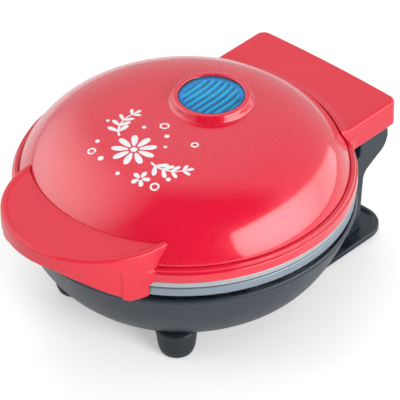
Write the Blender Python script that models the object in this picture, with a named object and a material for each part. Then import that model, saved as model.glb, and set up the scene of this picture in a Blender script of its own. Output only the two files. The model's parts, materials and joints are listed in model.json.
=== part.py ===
"""Mini waffle maker with a hinged domed lid, built as an assembly of separate pieces.

Metres, +Z up, feet on z = 0, front handle towards -Y and hinge towards +Y.
The pieces are drawn about the machine's round axis and hang on two empties:
machine_axis, and lid_pivot on the hinge axis for everything that swings with the lid.
"""
import math

import bmesh
import bpy
from mathutils import Matrix, Vector

MM = 0.001

# Fits and fineness
GAP = 0.3 * MM
OVERRUN = 2 * MM
ROUND_SIDES = 44
INNER_SIDES = 28
SMALL_SIDES = 12
BOWL_STEPS = 7
BOWL_INNER_STEPS = 5
FINE_STEPS = 200
DOME_STEPS = 9
DOME_INNER_STEPS = 4
DOME_SPACING_SHARE = 0.6
EDGE_STEPS = 3
EAR_STEPS = 8
LOBE_STEPS = 18
FILLET_STEPS = 5
CORNER_STEPS = 7
SMOOTH_ANGLE = math.radians(32)

# Base bowl
RIM_RADIUS = 63.5 * MM
BOWL_BOTTOM_Z = 8.3 * MM
BOWL_HEIGHT = 29.7 * MM
BOWL_FLAT_RADIUS = 34 * MM
BOWL_WALL = 2 * MM
RIM_PULL_SHARES = (0.21, 0.54)
FLAT_PULL_SHARE = 0.56
LIP_HEIGHT = 1.1 * MM
LIP_INSET = 1 * MM
LEDGE_DROP = 0.9 * MM
LEDGE_THICKNESS = 1.4 * MM
LEDGE_PLAY = 1.5 * MM

# Cooking plates
PLATE_REVEAL = 1.9 * MM
PLATE_INSET = 0.7 * MM
PLATE_BORDER = 12.3 * MM
LOWER_RIM = 3.5 * MM
UPPER_RIM = 2.4 * MM
POCKET_DRAFT = 1.5 * MM
POCKET_DEPTH = 7.3 * MM
PLATE_THICKNESS = 2.2 * MM
PEG_PITCH = 13 * MM
PEG_BASE = 8 * MM
PEG_TIP = 6.2 * MM
PEG_HEIGHT = 3.6 * MM
PEG_MARGIN = 3 * MM
PEG_ROWS = 7
PEG_SIDES = 4

# Lid ring
RING_HEIGHT = 5.4 * MM
RING_BAND = 3.3 * MM
RING_GROOVE = 0.7 * MM
RING_TOP_INSET = 1.4 * MM
RING_SHELF = 1.7 * MM
DOME_SEAT = 0.5 * MM

# Dome cover
DOME_INSET = 2.7 * MM
DOME_RISE = 21.5 * MM
DOME_WALL = 1.8 * MM
DOME_FLATNESS = 4.6
DOME_SHOULDER = 0.8
SPIGOT_STEP = 1 * MM
SPIGOT_WALL = 1.6 * MM

# Indicator lens, its boss and the lamp
LENS_Y = 14.7 * MM
LENS_RADIUS = 12.4 * MM
LENS_RECESS = 0.7 * MM
LENS_CROWN = 0.5 * MM
LENS_CROWN_SHARE = 0.75
LENS_WALL = 1.6 * MM
LENS_FLANGE = 1.9 * MM
LENS_FLANGE_HEIGHT = 1.5 * MM
BOSS_PROUD = 2.8 * MM
BOSS_TOP_WALL = 2.3 * MM
BOSS_FOOT_WALL = 3.8 * MM
BOSS_EDGE = 0.6 * MM
COLLAR_DEPTH = 9.2 * MM
COLLAR_SEAT = 5.2 * MM
HOLDER_THICKNESS = 1.7 * MM
LAMP_RADIUS = 2.6 * MM
LAMP_HEIGHT = 5.4 * MM
LAMP_TIP = 1.2 * MM

# Front handle
HANDLE_RADIUS = 34.8 * MM
HANDLE_BITE = 18.4 * MM
HANDLE_RISE = 13.3 * MM
HANDLE_DROP = 6.5 * MM
HANDLE_TOP_WALL = 2.2 * MM
HANDLE_WALL = 2.4 * MM
HANDLE_EDGE = 1.2 * MM
HANDLE_DOME_GAP = 0.4 * MM
ARCH_MARGIN = 3.8 * MM
ARCH_RISE = 13 * MM
ARCH_POWER = 2.6
ARCH_STEPS = 16

# Hinge
HINGE_REACH = 8.5 * MM
HINGE_RISE = 1.5 * MM
ARM_INNER_X = 22 * MM
ARM_THICKNESS = 7.6 * MM
LOBE_RADIUS = 7.9 * MM
LOBE_START_TURN = 190
EAR_THICKNESS = 4.4 * MM
EAR_RADIUS = 5.2 * MM
EAR_PLAY = 0.4 * MM
PIN_RADIUS = 2 * MM
PIN_SETBACK = 0.3 * MM

# Hinge block at the back of the lid
BLOCK_PLAY = 2.9 * MM
BLOCK_REACH = 8.5 * MM
BLOCK_LENGTH = 34.5 * MM
BLOCK_REAR_CROWN = 0.9 * MM
BLOCK_CORNER = 3.8 * MM
BLOCK_RISE = 9.9 * MM
BLOCK_DROP = 0.7 * MM
BLOCK_WALL = 1.9 * MM
BLOCK_EDGE = 1.2 * MM
BLOCK_CORNER_TURN = 80
BLOCK_REAR_SHARES = (0.7, 0.35, 0)

# Rear stand: two arms on a plate at floor level
LEG_FILLET = 5.6 * MM
LEG_LEAN = 2.5 * MM
LEG_WIDTH = 5.4 * MM
WEB_BITE = 11.5 * MM
WEB_DROP = 15.5 * MM
WEB_TOP_DROP = 3.5 * MM
STAND_HALF_WIDTH = 35.3 * MM
STAND_OVERHANG = 3.7 * MM
STAND_TOE = 6 * MM
STAND_CORNER = 11.3 * MM
STAND_BOTTOM_Z = 0.8 * MM
STAND_THICKNESS = 2.4 * MM
STAND_RIM_WIDTH = 2 * MM
STAND_RIM_HEIGHT = 1 * MM
TRAY_SETBACK = 16 * MM
STAND_BOSS_INSET = 2.7 * MM
STAND_BOSS_TURN = math.radians(26.6)
STAND_BOSS_RADIUS = 4 * MM
STAND_PAD_RADIUS = 6 * MM
STAND_PAD_INSET = 0.8 * MM

# Front feet
FOOT_OUTSET = 8 * MM
FOOT_TURN = math.radians(38.7)
FOOT_SOCKET = 3.9 * MM
FOOT_TOP_RADIUS = 8.2 * MM
FOOT_LIP = 0.8 * MM
FOOT_WAIST_Z = 3.2 * MM
FOOT_WAIST_RADIUS = 7.1 * MM
FOOT_BOTTOM_Z = 0.5 * MM
FOOT_BOTTOM_RADIUS = 6.2 * MM
FOOT_PAD_RADIUS = 4.6 * MM
FOOT_PAD_INSET = 1 * MM
FOOT_BOSS_RADIUS = 4.4 * MM
FOOT_BOSS_HEIGHT = 6.2 * MM

# Screws
SCREW_RADIUS = 1.2 * MM
SCREW_HEAD_RADIUS = 1.9 * MM
SCREW_HEAD_HEIGHT = 1.8 * MM
PLATE_SCREWS = 3
PLATE_SCREW_TURN = math.radians(30)
STANDOFF_RADIUS = 2.7 * MM
STANDOFF_PLAY = 0.4 * MM
COLUMN_RADIUS = 3.6 * MM
COLUMN_SEAT = 10.7 * MM
STAND_SCREW_REACH = 5 * MM
FOOT_SCREW_REACH = 9 * MM

# Heaters, shields and controls
TUBE_RADIUS = 3.2 * MM
HEATER_INSET = 12.5 * MM
HEATER_OPEN = math.radians(50)
HEATER_TAIL = 9 * MM
HEATER_STEPS = 22
SHIELD_SHEET = 0.6 * MM
SHIELD_PLAY = 0.6 * MM
PAN_INSET = 3 * MM
FLANGE_PLAY = 0.7 * MM
TAB_WIDTH = 3.4 * MM
TAB_ANGLES = [math.radians(angle) for angle in (-32, 0, 32, 148, 180, 212)]
THERMOSTAT_RADIUS = 8.4 * MM
THERMOSTAT_CAP = 1.4 * MM
FUSE_RADIUS = 2 * MM
FUSE_LENGTH = 14 * MM
FUSE_SPACE = 7.6 * MM
TERMINAL_WIDTH = 24 * MM
TERMINAL_DEPTH = 13 * MM
TERMINAL_HEIGHT = 8.5 * MM
TERMINAL_Y = 8 * MM
TERMINAL_EDGE = 0.8 * MM

# Cord outlet
GLAND_FLOOR_PLAY = 1.35 * MM
GLAND_BORE = 3.4 * MM
GLAND_WALL = 1.2 * MM
GLAND_FLANGE = 1.8 * MM
GLAND_LIP = 2 * MM
GLAND_SETBACK = 3.1 * MM
GLAND_BOSS_MARGIN = 0.6 * MM
GLAND_BOSS_LENGTH = 10.9 * MM
GLAND_TAIL = 1.5 * MM

# Route of the sleeved leads, in one upright plane beside the gland
LEAD_X = 10 * MM
LEAD_RADIUS = 1 * MM
LEAD_STEPS = 24
LEAD_LEVEL_Y = 42 * MM
LEAD_BEND = (53.2 * MM, 28.6 * MM)
LEAD_HOLE_DROP = 5 * MM
LEAD_HOLE_RADIUS = 2 * MM
LEAD_HOLE_ENDS_Y = (57.2 * MM, 62.8 * MM)
LEAD_SLACK = (68.6 * MM, 34.2 * MM)
LEAD_END_GAP = 1.3 * MM
LEAD_RISE = (69.5 * MM, 45.5 * MM)
LEAD_NOTCH = 4.4 * MM
LEAD_CLIMB = (53.6 * MM, 57.3 * MM)
LEAD_SHOULDER = (50.2 * MM, 61.3 * MM)
LEAD_CROWN_Y = 46 * MM

# Heights that follow from the stack of pieces
BOWL_RIM_Z = BOWL_BOTTOM_Z + BOWL_HEIGHT
LIP_TOP_Z = BOWL_RIM_Z + LIP_HEIGHT
LEDGE_TOP_Z = LIP_TOP_Z - LEDGE_DROP
LEDGE_LOW_Z = LEDGE_TOP_Z - LEDGE_THICKNESS
LOWER_PLATE_Z = LIP_TOP_Z + PLATE_REVEAL
LOWER_FACE_Z = LOWER_PLATE_Z + LOWER_RIM
UPPER_FACE_Z = LOWER_FACE_Z + GAP
RING_Z = UPPER_FACE_Z + UPPER_RIM + GAP
RING_TOP_Z = RING_Z + RING_HEIGHT
DOME_EDGE_Z = RING_TOP_Z - DOME_SEAT + GAP
DOME_TOP_Z = DOME_EDGE_Z + DOME_RISE
BOSS_TOP_Z = DOME_TOP_Z + BOSS_PROUD
COLLAR_BOTTOM_Z = DOME_TOP_Z - COLLAR_DEPTH
COLLAR_SEAT_Z = DOME_TOP_Z - COLLAR_SEAT
SPIGOT_BOTTOM_Z = RING_Z + RING_SHELF + GAP
HANDLE_TOP_Z = RING_Z + HANDLE_RISE
BLOCK_TOP_Z = RING_Z + BLOCK_RISE
LOWER_BACK_Z = LOWER_FACE_Z - POCKET_DEPTH - PLATE_THICKNESS
UPPER_BACK_Z = UPPER_FACE_Z + POCKET_DEPTH + PLATE_THICKNESS
LOWER_PAN_Z = LOWER_BACK_Z - 2 * (TUBE_RADIUS + GAP)
UPPER_PAN_Z = UPPER_BACK_Z + 2 * (TUBE_RADIUS + GAP)
COLUMN_SEAT_Z = BOWL_BOTTOM_Z + COLUMN_SEAT
STAND_TOP_Z = STAND_BOTTOM_Z + STAND_THICKNESS
STAND_FLOOR_Z = STAND_TOP_Z - STAND_RIM_HEIGHT
FOOT_TOP_Z = BOWL_BOTTOM_Z + FOOT_SOCKET
FOOT_BOSS_TOP_Z = BOWL_BOTTOM_Z + FOOT_BOSS_HEIGHT
HINGE_Z = BOWL_RIM_Z + HINGE_RISE
LEAD_HOLE_Z = BOWL_RIM_Z - LEAD_HOLE_DROP
LEAD_NOTCH_Z = RING_Z + RING_SHELF + GAP / 2 + LEAD_NOTCH / 2

# Radii and depths that follow
PLATE_RADIUS = RIM_RADIUS - PLATE_INSET
POCKET_RADIUS = PLATE_RADIUS - PLATE_BORDER
DOME_RADIUS = RIM_RADIUS - DOME_INSET
SPIGOT_RADIUS = DOME_RADIUS - SPIGOT_STEP
SPIGOT_INNER = SPIGOT_RADIUS - SPIGOT_WALL
LIP_INNER = RIM_RADIUS - LIP_INSET - BOWL_WALL / 2
SHIELD_WALL = POCKET_RADIUS + PLATE_THICKNESS + SHIELD_PLAY
LEDGE_INNER = SHIELD_WALL + SHIELD_SHEET + LEDGE_PLAY
PAN_RADIUS = POCKET_RADIUS - PAN_INSET
HEATER_RADIUS = POCKET_RADIUS - HEATER_INSET
PLATE_SCREW_RING = HEATER_RADIUS + TUBE_RADIUS + STANDOFF_RADIUS + STANDOFF_PLAY
FUSE_X = THERMOSTAT_RADIUS + FUSE_SPACE + FUSE_RADIUS
FOOT_RING = BOWL_FLAT_RADIUS + FOOT_OUTSET
FOOT_X = FOOT_RING * math.sin(FOOT_TURN)
FOOT_Y = -FOOT_RING * math.cos(FOOT_TURN)
STAND_BOSS_RING = BOWL_FLAT_RADIUS - STAND_BOSS_INSET
STAND_BOSS_X = STAND_BOSS_RING * math.sin(STAND_BOSS_TURN)
STAND_BOSS_Y = STAND_BOSS_RING * math.cos(STAND_BOSS_TURN)
STAND_FRONT_Y = STAND_BOSS_Y - STAND_TOE
TRAY_FRONT_Y = STAND_BOSS_Y + TRAY_SETBACK
HANDLE_CENTRE_Y = HANDLE_BITE - RIM_RADIUS
ARCH_HALF_WIDTH = HANDLE_RADIUS - ARCH_MARGIN
HINGE_Y = RIM_RADIUS + HINGE_REACH
ARM_OUTER_X = ARM_INNER_X + ARM_THICKNESS
BLOCK_HALF_WIDTH = ARM_OUTER_X + BLOCK_PLAY + BLOCK_WALL
BLOCK_REAR_Y = HINGE_Y + BLOCK_REACH
BLOCK_FRONT_Y = BLOCK_REAR_Y - BLOCK_LENGTH
STAND_REAR_Y = HINGE_Y + STAND_OVERHANG
STAND_PAD_X = STAND_HALF_WIDTH - STAND_CORNER
STAND_PAD_Y = STAND_REAR_Y - STAND_CORNER
LEG_REAR_TOP_Y = HINGE_Y - LEG_FILLET
LEG_REAR_FOOT_Y = LEG_REAR_TOP_Y - LEG_LEAN
WEB_FRONT_Y = RIM_RADIUS - WEB_BITE
WEB_LOW_Z = HINGE_Z - WEB_DROP
WEB_TOP_Z = HINGE_Z - WEB_TOP_DROP
GLAND_NECK = GLAND_BORE + GLAND_WALL
GLAND_FACE_Y = RIM_RADIUS - GLAND_SETBACK
GLAND_BOSS_RADIUS = GLAND_NECK + GLAND_FLANGE + GLAND_BOSS_MARGIN
GLAND_BOSS_INNER_Y = GLAND_FACE_Y - GLAND_BOSS_LENGTH
GLAND_END_Y = GLAND_BOSS_INNER_Y - GLAND_TAIL

# The machine's round axis stands so that the whole length is centred on the origin
AXIS_Y = (HANDLE_RADIUS - HANDLE_CENTRE_Y - BLOCK_REAR_Y) / 2

PIVOT = Vector((0, HINGE_Y, HINGE_Z))
SIDE_NAMES = {-1: "left", 1: "right"}

# Colours as linear RGB, roughness, metallic
FINISHES = {
    "glossy_red": ((0.72, 0.02, 0.05), 0.22, 0.1),
    "satin_red": ((0.76, 0.06, 0.08), 0.38, 0.0),
    "blue_lens": ((0.01, 0.27, 0.75), 0.1, 0.0),
    "grey_coating": ((0.42, 0.46, 0.5), 0.35, 0.4),
    "charcoal": ((0.07, 0.085, 0.1), 0.42, 0.0),
    "rubber": ((0.03, 0.03, 0.033), 0.8, 0.0),
    "steel": ((0.55, 0.56, 0.58), 0.3, 1.0),
    "bright_sheet": ((0.7, 0.71, 0.73), 0.35, 1.0),
    "ceramic": ((0.8, 0.78, 0.72), 0.6, 0.0),
    "lamp_glass": ((0.75, 0.85, 0.95), 0.08, 0.0),
    "sleeve": ((0.75, 0.73, 0.66), 0.8, 0.0),
}


def clear_scene():
    """Start from an empty file."""
    for item in list(bpy.data.objects):
        bpy.data.objects.remove(item, do_unlink=True)


def finish(name):
    """Return the named material, made once."""
    found = bpy.data.materials.get(name)
    if found:
        return found
    colour, roughness, metallic = FINISHES[name]
    made = bpy.data.materials.new(name)
    made.use_nodes = True
    shader = made.node_tree.nodes["Principled BSDF"]
    shader.inputs["Base Color"].default_value = (*colour, 1)
    shader.inputs["Roughness"].default_value = roughness
    shader.inputs["Metallic"].default_value = metallic
    return made


def hang(obj, carrier):
    """Parent a piece that was drawn about the machine's axis to one of the two empties."""
    obj.parent = carrier
    if carrier.name == "lid_pivot":
        obj.location = -PIVOT


def add_piece(name, mesh, carrier, look):
    """Link a mesh as a named piece with its material and smooth shading."""
    mesh.materials.append(finish(look))
    mesh.shade_smooth()
    mesh.set_sharp_from_angle(angle=SMOOTH_ANGLE)
    obj = bpy.data.objects.new(name, mesh)
    bpy.context.collection.objects.link(obj)
    hang(obj, carrier)
    return obj


def add_guide(name, mesh, carrier):
    """Link a mesh that only shapes another piece."""
    obj = bpy.data.objects.new(name, mesh)
    bpy.context.collection.objects.link(obj)
    obj.hide_render = True
    obj.display_type = "WIRE"
    hang(obj, carrier)
    return obj


def combine(target, tool, operation):
    """Add an exact Boolean between two objects."""
    step = target.modifiers.new(operation.lower() + "_" + tool.name, "BOOLEAN")
    step.operation = operation
    step.solver = "EXACT"
    step.object = tool


def mesh_from(name, bm):
    """Turn a bmesh into a mesh whose faces point outwards."""
    bmesh.ops.recalc_face_normals(bm, faces=bm.faces)
    mesh = bpy.data.meshes.new(name)
    bm.to_mesh(mesh)
    bm.free()
    return mesh


def lathe(name, outline, sides, place=None):
    """Turn (radius, height) points about Z; points of radius 0 close the form on its axis."""
    bm = bmesh.new()
    rings = []
    for radius, height in outline:
        if radius == 0:
            rings.append([bm.verts.new((0, 0, height))])
            continue
        ring = []
        for step in range(sides):
            turn = math.tau * step / sides
            ring.append(bm.verts.new((radius * math.cos(turn), radius * math.sin(turn), height)))
        rings.append(ring)
    pairs = list(zip(rings, rings[1:]))
    if outline[0][0] > 0:
        pairs.append((rings[-1], rings[0]))
    for first, second in pairs:
        for step in range(sides):
            after = (step + 1) % sides
            if len(first) == 1 and len(second) == 1:
                continue
            if len(first) == 1:
                bm.faces.new((first[0], second[step], second[after]))
            elif len(second) == 1:
                bm.faces.new((first[step], second[0], first[after]))
            else:
                bm.faces.new((first[step], second[step], second[after], first[after]))
    if place is not None:
        bmesh.ops.transform(bm, matrix=place, verts=bm.verts)
    return mesh_from(name, bm)


def prism(name, outline, low, high, axis="Z", edge=0.0, edge_top_only=True):
    """Extrude an outline along an axis, with its far rim rounded by edge."""
    bm = bmesh.new()
    verts = [bm.verts.new((across, up, low)) for across, up in outline]
    face = bm.faces.new(verts)
    grown = bmesh.ops.extrude_face_region(bm, geom=[face])
    top = [item for item in grown["geom"] if isinstance(item, bmesh.types.BMVert)]
    bmesh.ops.translate(bm, verts=top, vec=(0, 0, high - low))
    if edge > 0:
        rim = [item for item in bm.edges if sum(vert in top for vert in item.verts) == 2]
        if not edge_top_only:
            rim += [item for item in bm.edges if not any(vert in top for vert in item.verts)]
        bmesh.ops.bevel(bm, geom=rim, offset=edge, segments=2, profile=0.5, affect="EDGES")
    turns = {
        "Z": Matrix.Identity(4),
        "X": Matrix(((0, 0, 1, 0), (1, 0, 0, 0), (0, 1, 0, 0), (0, 0, 0, 1))),
        "Y": Matrix(((1, 0, 0, 0), (0, 0, 1, 0), (0, 1, 0, 0), (0, 0, 0, 1))),
    }
    bmesh.ops.transform(bm, matrix=turns[axis], verts=bm.verts)
    return mesh_from(name, bm)


def post(name, x, y, radius, low, high, sides=SMALL_SIDES):
    """Upright cylinder."""
    outline = [(0, high), (radius, high), (radius, low), (0, low)]
    return lathe(name, outline, sides, Matrix.Translation((x, y, 0)))


def across_x(y, z):
    """Placement that lays a turned form along +X at a height and depth."""
    return Matrix.Translation((0, y, z)) @ Matrix.Rotation(math.pi / 2, 4, "Y")


def along_y(x, z):
    """Placement that lays a turned form along +Y."""
    return Matrix.Translation((x, 0, z)) @ Matrix.Rotation(-math.pi / 2, 4, "X")


def arc(centre, radius, start, end, steps):
    """Points on an arc, ends included; angles in degrees."""
    points = []
    for step in range(steps + 1):
        turn = math.radians(start + (end - start) * step / steps)
        points.append((centre[0] + radius * math.cos(turn), centre[1] + radius * math.sin(turn)))
    return points


def tube(name, points, radius, carrier, look):
    """Round tube along a smooth run of points, with capped ends."""
    curve = bpy.data.curves.new(name, "CURVE")
    curve.dimensions = "3D"
    curve.bevel_depth = radius
    curve.bevel_resolution = 2
    curve.use_fill_caps = True
    spline = curve.splines.new("POLY")
    spline.points.add(len(points) - 1)
    for slot, point in zip(spline.points, points):
        slot.co = (*point, 1)
    curve.materials.append(finish(look))
    obj = bpy.data.objects.new(name, curve)
    bpy.context.collection.objects.link(obj)
    hang(obj, carrier)
    return obj


def smooth_run(knots, steps):
    """Catmull-Rom run through the knots, evenly stepped within each span."""
    ends = [knots[0] + (knots[0] - knots[1])] + knots + [knots[-1] + (knots[-1] - knots[-2])]
    spans = len(knots) - 1
    run = []
    for step in range(steps + 1):
        place = spans * step / steps
        span = min(int(place), spans - 1)
        t = place - span
        a, b, c, d = ends[span:span + 4]
        run.append(0.5 * (2 * b + (c - a) * t + (2 * a - 5 * b + 4 * c - d) * t * t
                          + (3 * b - a - 3 * c + d) * t * t * t))
    return run


def bowl_profile(grow, steps):
    """Side of the bowl from its widest line to its flat bottom, moved outwards by grow."""
    rim = Vector((RIM_RADIUS, BOWL_RIM_Z))
    flat = Vector((BOWL_FLAT_RADIUS, BOWL_BOTTOM_Z))
    reach, fall = rim - flat
    rim_handle = rim - Vector((reach * RIM_PULL_SHARES[0], fall * RIM_PULL_SHARES[1]))
    flat_handle = flat + Vector((reach * FLAT_PULL_SHARE, 0))
    points = []
    for step in range(steps + 1):
        t = step / steps
        spot = (rim * (1 - t) ** 3 + rim_handle * 3 * t * (1 - t) ** 2
                + flat_handle * 3 * t * t * (1 - t) + flat * t ** 3)
        slope = ((rim_handle - rim) * (1 - t) ** 2 + (flat_handle - rim_handle) * 2 * t * (1 - t)
                 + (flat - flat_handle) * t * t).normalized()
        points.append((spot.x - slope.y * grow, spot.y + slope.x * grow))
    return points


def gland_height():
    """Height of the cord outlet, whose bore runs above the bowl's inside with some play."""
    inner_end = GLAND_END_Y - OVERRUN
    side = [height for radius, height in bowl_profile(-BOWL_WALL, FINE_STEPS) if radius > inner_end]
    return side[-1] + GLAND_FLOOR_PLAY + GLAND_NECK + GAP


def dome_profile(grow, steps):
    """Dome outline from the top to its edge, moved outwards by grow."""
    reach = DOME_RADIUS + grow
    rise = DOME_RISE + grow
    points = []
    for step in range(steps + 1):
        share = math.sin(math.pi / 2 * step / steps) ** DOME_SPACING_SHARE
        height = max(1 - share ** DOME_FLATNESS, 0) ** DOME_SHOULDER
        points.append((reach * share, DOME_EDGE_Z + rise * height))
    return points


def lid_interior(carrier):
    """Space inside the lid that the handle and the hinge block must not enter."""
    wall_middle = (RIM_RADIUS + DOME_RADIUS) / 2
    dome = dome_profile(HANDLE_DOME_GAP, DOME_STEPS)
    outline = dome + [
        (wall_middle, DOME_EDGE_Z - GAP), (wall_middle, RING_Z + GAP),
        (RIM_RADIUS, RING_Z - GAP), (RIM_RADIUS, BOWL_BOTTOM_Z), (0, BOWL_BOTTOM_Z)]
    return add_guide("cut_lid_interior", lathe("cut_lid_interior", outline, ROUND_SIDES), carrier)


def bowl_form(name, grow, carrier):
    """The bowl as a solid form, moved outwards by grow."""
    outline = [(0, LIP_TOP_Z + OVERRUN), (RIM_RADIUS + grow, LIP_TOP_Z + OVERRUN)]
    outline += bowl_profile(grow, BOWL_STEPS) + [(0, BOWL_BOTTOM_Z - grow)]
    return add_guide(name, lathe(name, outline, ROUND_SIDES), carrier)


def make_dome_cover(carrier, notch):
    """Glossy domed cover with the boss that holds the lens."""
    inner = [(radius, height) for radius, height in reversed(dome_profile(-DOME_WALL, DOME_INNER_STEPS))]
    outline = dome_profile(0, DOME_STEPS) + [
        (SPIGOT_RADIUS, DOME_EDGE_Z), (SPIGOT_RADIUS, SPIGOT_BOTTOM_Z),
        (SPIGOT_INNER, SPIGOT_BOTTOM_Z), (SPIGOT_INNER, DOME_EDGE_Z + SPIGOT_WALL)] + inner[1:]
    cover = add_piece("dome_cover", lathe("dome_cover", outline, ROUND_SIDES), carrier, "glossy_red")
    combine(cover, notch, "DIFFERENCE")
    bore = LENS_RADIUS + GAP
    top = bore + BOSS_TOP_WALL
    foot = bore + BOSS_FOOT_WALL
    boss = [(0, BOSS_TOP_Z), (top - BOSS_EDGE, BOSS_TOP_Z), (top, BOSS_TOP_Z - BOSS_EDGE),
            (foot, DOME_TOP_Z - BOSS_PROUD), (foot, COLLAR_BOTTOM_Z), (0, COLLAR_BOTTOM_Z)]
    spot = Matrix.Translation((0, LENS_Y, 0))
    collar = bore + LENS_FLANGE
    hole = [(0, BOSS_TOP_Z + OVERRUN), (bore, BOSS_TOP_Z + OVERRUN), (bore, COLLAR_SEAT_Z),
            (collar, COLLAR_SEAT_Z), (collar, COLLAR_BOTTOM_Z - OVERRUN),
            (0, COLLAR_BOTTOM_Z - OVERRUN)]
    combine(cover, add_guide("lens_boss", lathe("lens_boss", boss, INNER_SIDES, spot), carrier),
            "UNION")
    combine(cover, add_guide("cut_lens", lathe("cut_lens", hole, INNER_SIDES, spot), carrier),
            "DIFFERENCE")


def make_lens(carrier):
    """Clear blue indicator lens, a cup with a flange."""
    top = BOSS_TOP_Z - LENS_RECESS
    flange_top = COLLAR_SEAT_Z - GAP
    flange_low = flange_top - LENS_FLANGE_HEIGHT
    outline = [
        (0, top + LENS_CROWN), (LENS_RADIUS / 2, top + LENS_CROWN * LENS_CROWN_SHARE), (LENS_RADIUS, top),
        (LENS_RADIUS, flange_top), (LENS_RADIUS + LENS_FLANGE, flange_top),
        (LENS_RADIUS + LENS_FLANGE, flange_low), (LENS_RADIUS - LENS_WALL, flange_low),
        (LENS_RADIUS - LENS_WALL, top - LENS_WALL), (0, top - LENS_WALL)]
    spot = Matrix.Translation((0, LENS_Y, 0))
    add_piece("indicator_lens", lathe("indicator_lens", outline, INNER_SIDES, spot), carrier, "blue_lens")
    return flange_low


def make_lamp(carrier, ceiling):
    """Neon lamp on its holder under the lens."""
    top = ceiling - GAP
    radius = LENS_RADIUS + LENS_FLANGE
    holder = lathe("lamp_holder", [(0, top), (radius, top), (radius, top - HOLDER_THICKNESS),
                                   (0, top - HOLDER_THICKNESS)], INNER_SIDES,
                   Matrix.Translation((0, LENS_Y, 0)))
    add_piece("lamp_holder", holder, carrier, "ceramic")
    low = top + GAP
    lamp = lathe("neon_lamp", [(0, low + LAMP_HEIGHT), (LAMP_RADIUS - LAMP_TIP, low + LAMP_HEIGHT),
                               (LAMP_RADIUS, low + LAMP_HEIGHT - LAMP_TIP), (LAMP_RADIUS, low),
                               (0, low)], SMALL_SIDES, Matrix.Translation((0, LENS_Y, 0)))
    add_piece("neon_lamp", lamp, carrier, "lamp_glass")


def make_lid_frame(carrier, notch):
    """Moulded lid frame: ring, front handle and hinge block in one piece."""
    seat = DOME_RADIUS + GAP
    spigot = SPIGOT_RADIUS + GAP
    shelf = RING_Z + RING_SHELF
    bead = RIM_RADIUS - RING_GROOVE
    outline = [
        (RIM_RADIUS, RING_Z), (RIM_RADIUS, RING_Z + RING_BAND),
        (bead, RING_Z + RING_BAND + RING_GROOVE / 2), (bead, RING_TOP_Z - RING_GROOVE),
        (RIM_RADIUS - RING_TOP_INSET, RING_TOP_Z), (seat, RING_TOP_Z),
        (seat, RING_TOP_Z - DOME_SEAT), (spigot, RING_TOP_Z - DOME_SEAT),
        (spigot, shelf), (SHIELD_WALL, shelf), (SHIELD_WALL, RING_Z)]
    frame = add_piece("lid_frame", lathe("lid_frame", outline, ROUND_SIDES), carrier, "satin_red")
    interior = lid_interior(carrier)
    for guide in (handle_form(carrier, interior), block_form(carrier, interior)):
        combine(frame, guide, "UNION")
    for side in (-1, 1):
        combine(frame, ear_form(carrier, side), "UNION")
    reach = ARM_INNER_X - EAR_PLAY / 2
    bore = [(0, reach), (PIN_RADIUS + GAP, reach), (PIN_RADIUS + GAP, -reach), (0, -reach)]
    mesh = lathe("cut_ear_bore", bore, SMALL_SIDES, across_x(HINGE_Y, HINGE_Z))
    combine(frame, add_guide("cut_ear_bore", mesh, carrier), "DIFFERENCE")
    combine(frame, notch, "DIFFERENCE")


def handle_form(carrier, interior):
    """Half-round handle, hollow underneath, with an arched finger gap in its skirt."""
    low = RING_Z - HANDLE_DROP
    inside = HANDLE_RADIUS - HANDLE_WALL
    under = HANDLE_TOP_Z - HANDLE_TOP_WALL
    rounding = arc((HANDLE_RADIUS - HANDLE_EDGE, HANDLE_TOP_Z - HANDLE_EDGE), HANDLE_EDGE, 90, 0, EDGE_STEPS)
    outline = [(0, HANDLE_TOP_Z)] + rounding + [
        (HANDLE_RADIUS, low), (inside, low), (inside, under), (0, under)]
    spot = Matrix.Translation((0, HANDLE_CENTRE_Y, 0))
    handle = add_guide("handle_form", lathe("handle_form", outline, ROUND_SIDES, spot), carrier)
    combine(handle, interior, "DIFFERENCE")
    crown = low + ARCH_RISE
    bottom = low - OVERRUN
    points = []
    for step in range(ARCH_STEPS + 1):
        share = 2 * step / ARCH_STEPS - 1
        points.append((ARCH_HALF_WIDTH * share, crown - ARCH_RISE * abs(share) ** ARCH_POWER))
    points += [(ARCH_HALF_WIDTH, bottom), (-ARCH_HALF_WIDTH, bottom)]
    front = HANDLE_CENTRE_Y - HANDLE_RADIUS - OVERRUN
    mesh = prism("cut_arch", points, front, HANDLE_CENTRE_Y, axis="Y")
    combine(handle, add_guide("cut_arch", mesh, carrier), "DIFFERENCE")
    return handle


def block_outline(half_width, rear, corner):
    """Plan of the hinge block: square front, rounded and slightly crowned rear."""
    crown = BLOCK_REAR_CROWN
    side = arc((half_width - corner, rear - crown - corner), corner, 0, BLOCK_CORNER_TURN, EDGE_STEPS)
    middle = [(half_width * share, rear - crown * share * share) for share in BLOCK_REAR_SHARES]
    right = [(half_width, BLOCK_FRONT_Y)] + side + middle
    left = [(-x, y) for x, y in reversed(right[:-1])]
    return right + left


def block_form(carrier, interior):
    """Hinge block, open underneath."""
    low = RING_Z - BLOCK_DROP
    outer = block_outline(BLOCK_HALF_WIDTH, BLOCK_REAR_Y, BLOCK_CORNER)
    inner = block_outline(BLOCK_HALF_WIDTH - BLOCK_WALL, BLOCK_REAR_Y - BLOCK_WALL,
                          BLOCK_CORNER - BLOCK_WALL)
    block = add_guide("block_form", prism("block_form", outer, low, BLOCK_TOP_Z, edge=BLOCK_EDGE),
                      carrier)
    hollow = prism("cut_block", inner, low - OVERRUN, BLOCK_TOP_Z - BLOCK_WALL)
    combine(block, add_guide("cut_block", hollow, carrier), "DIFFERENCE")
    combine(block, interior, "DIFFERENCE")
    return block


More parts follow.
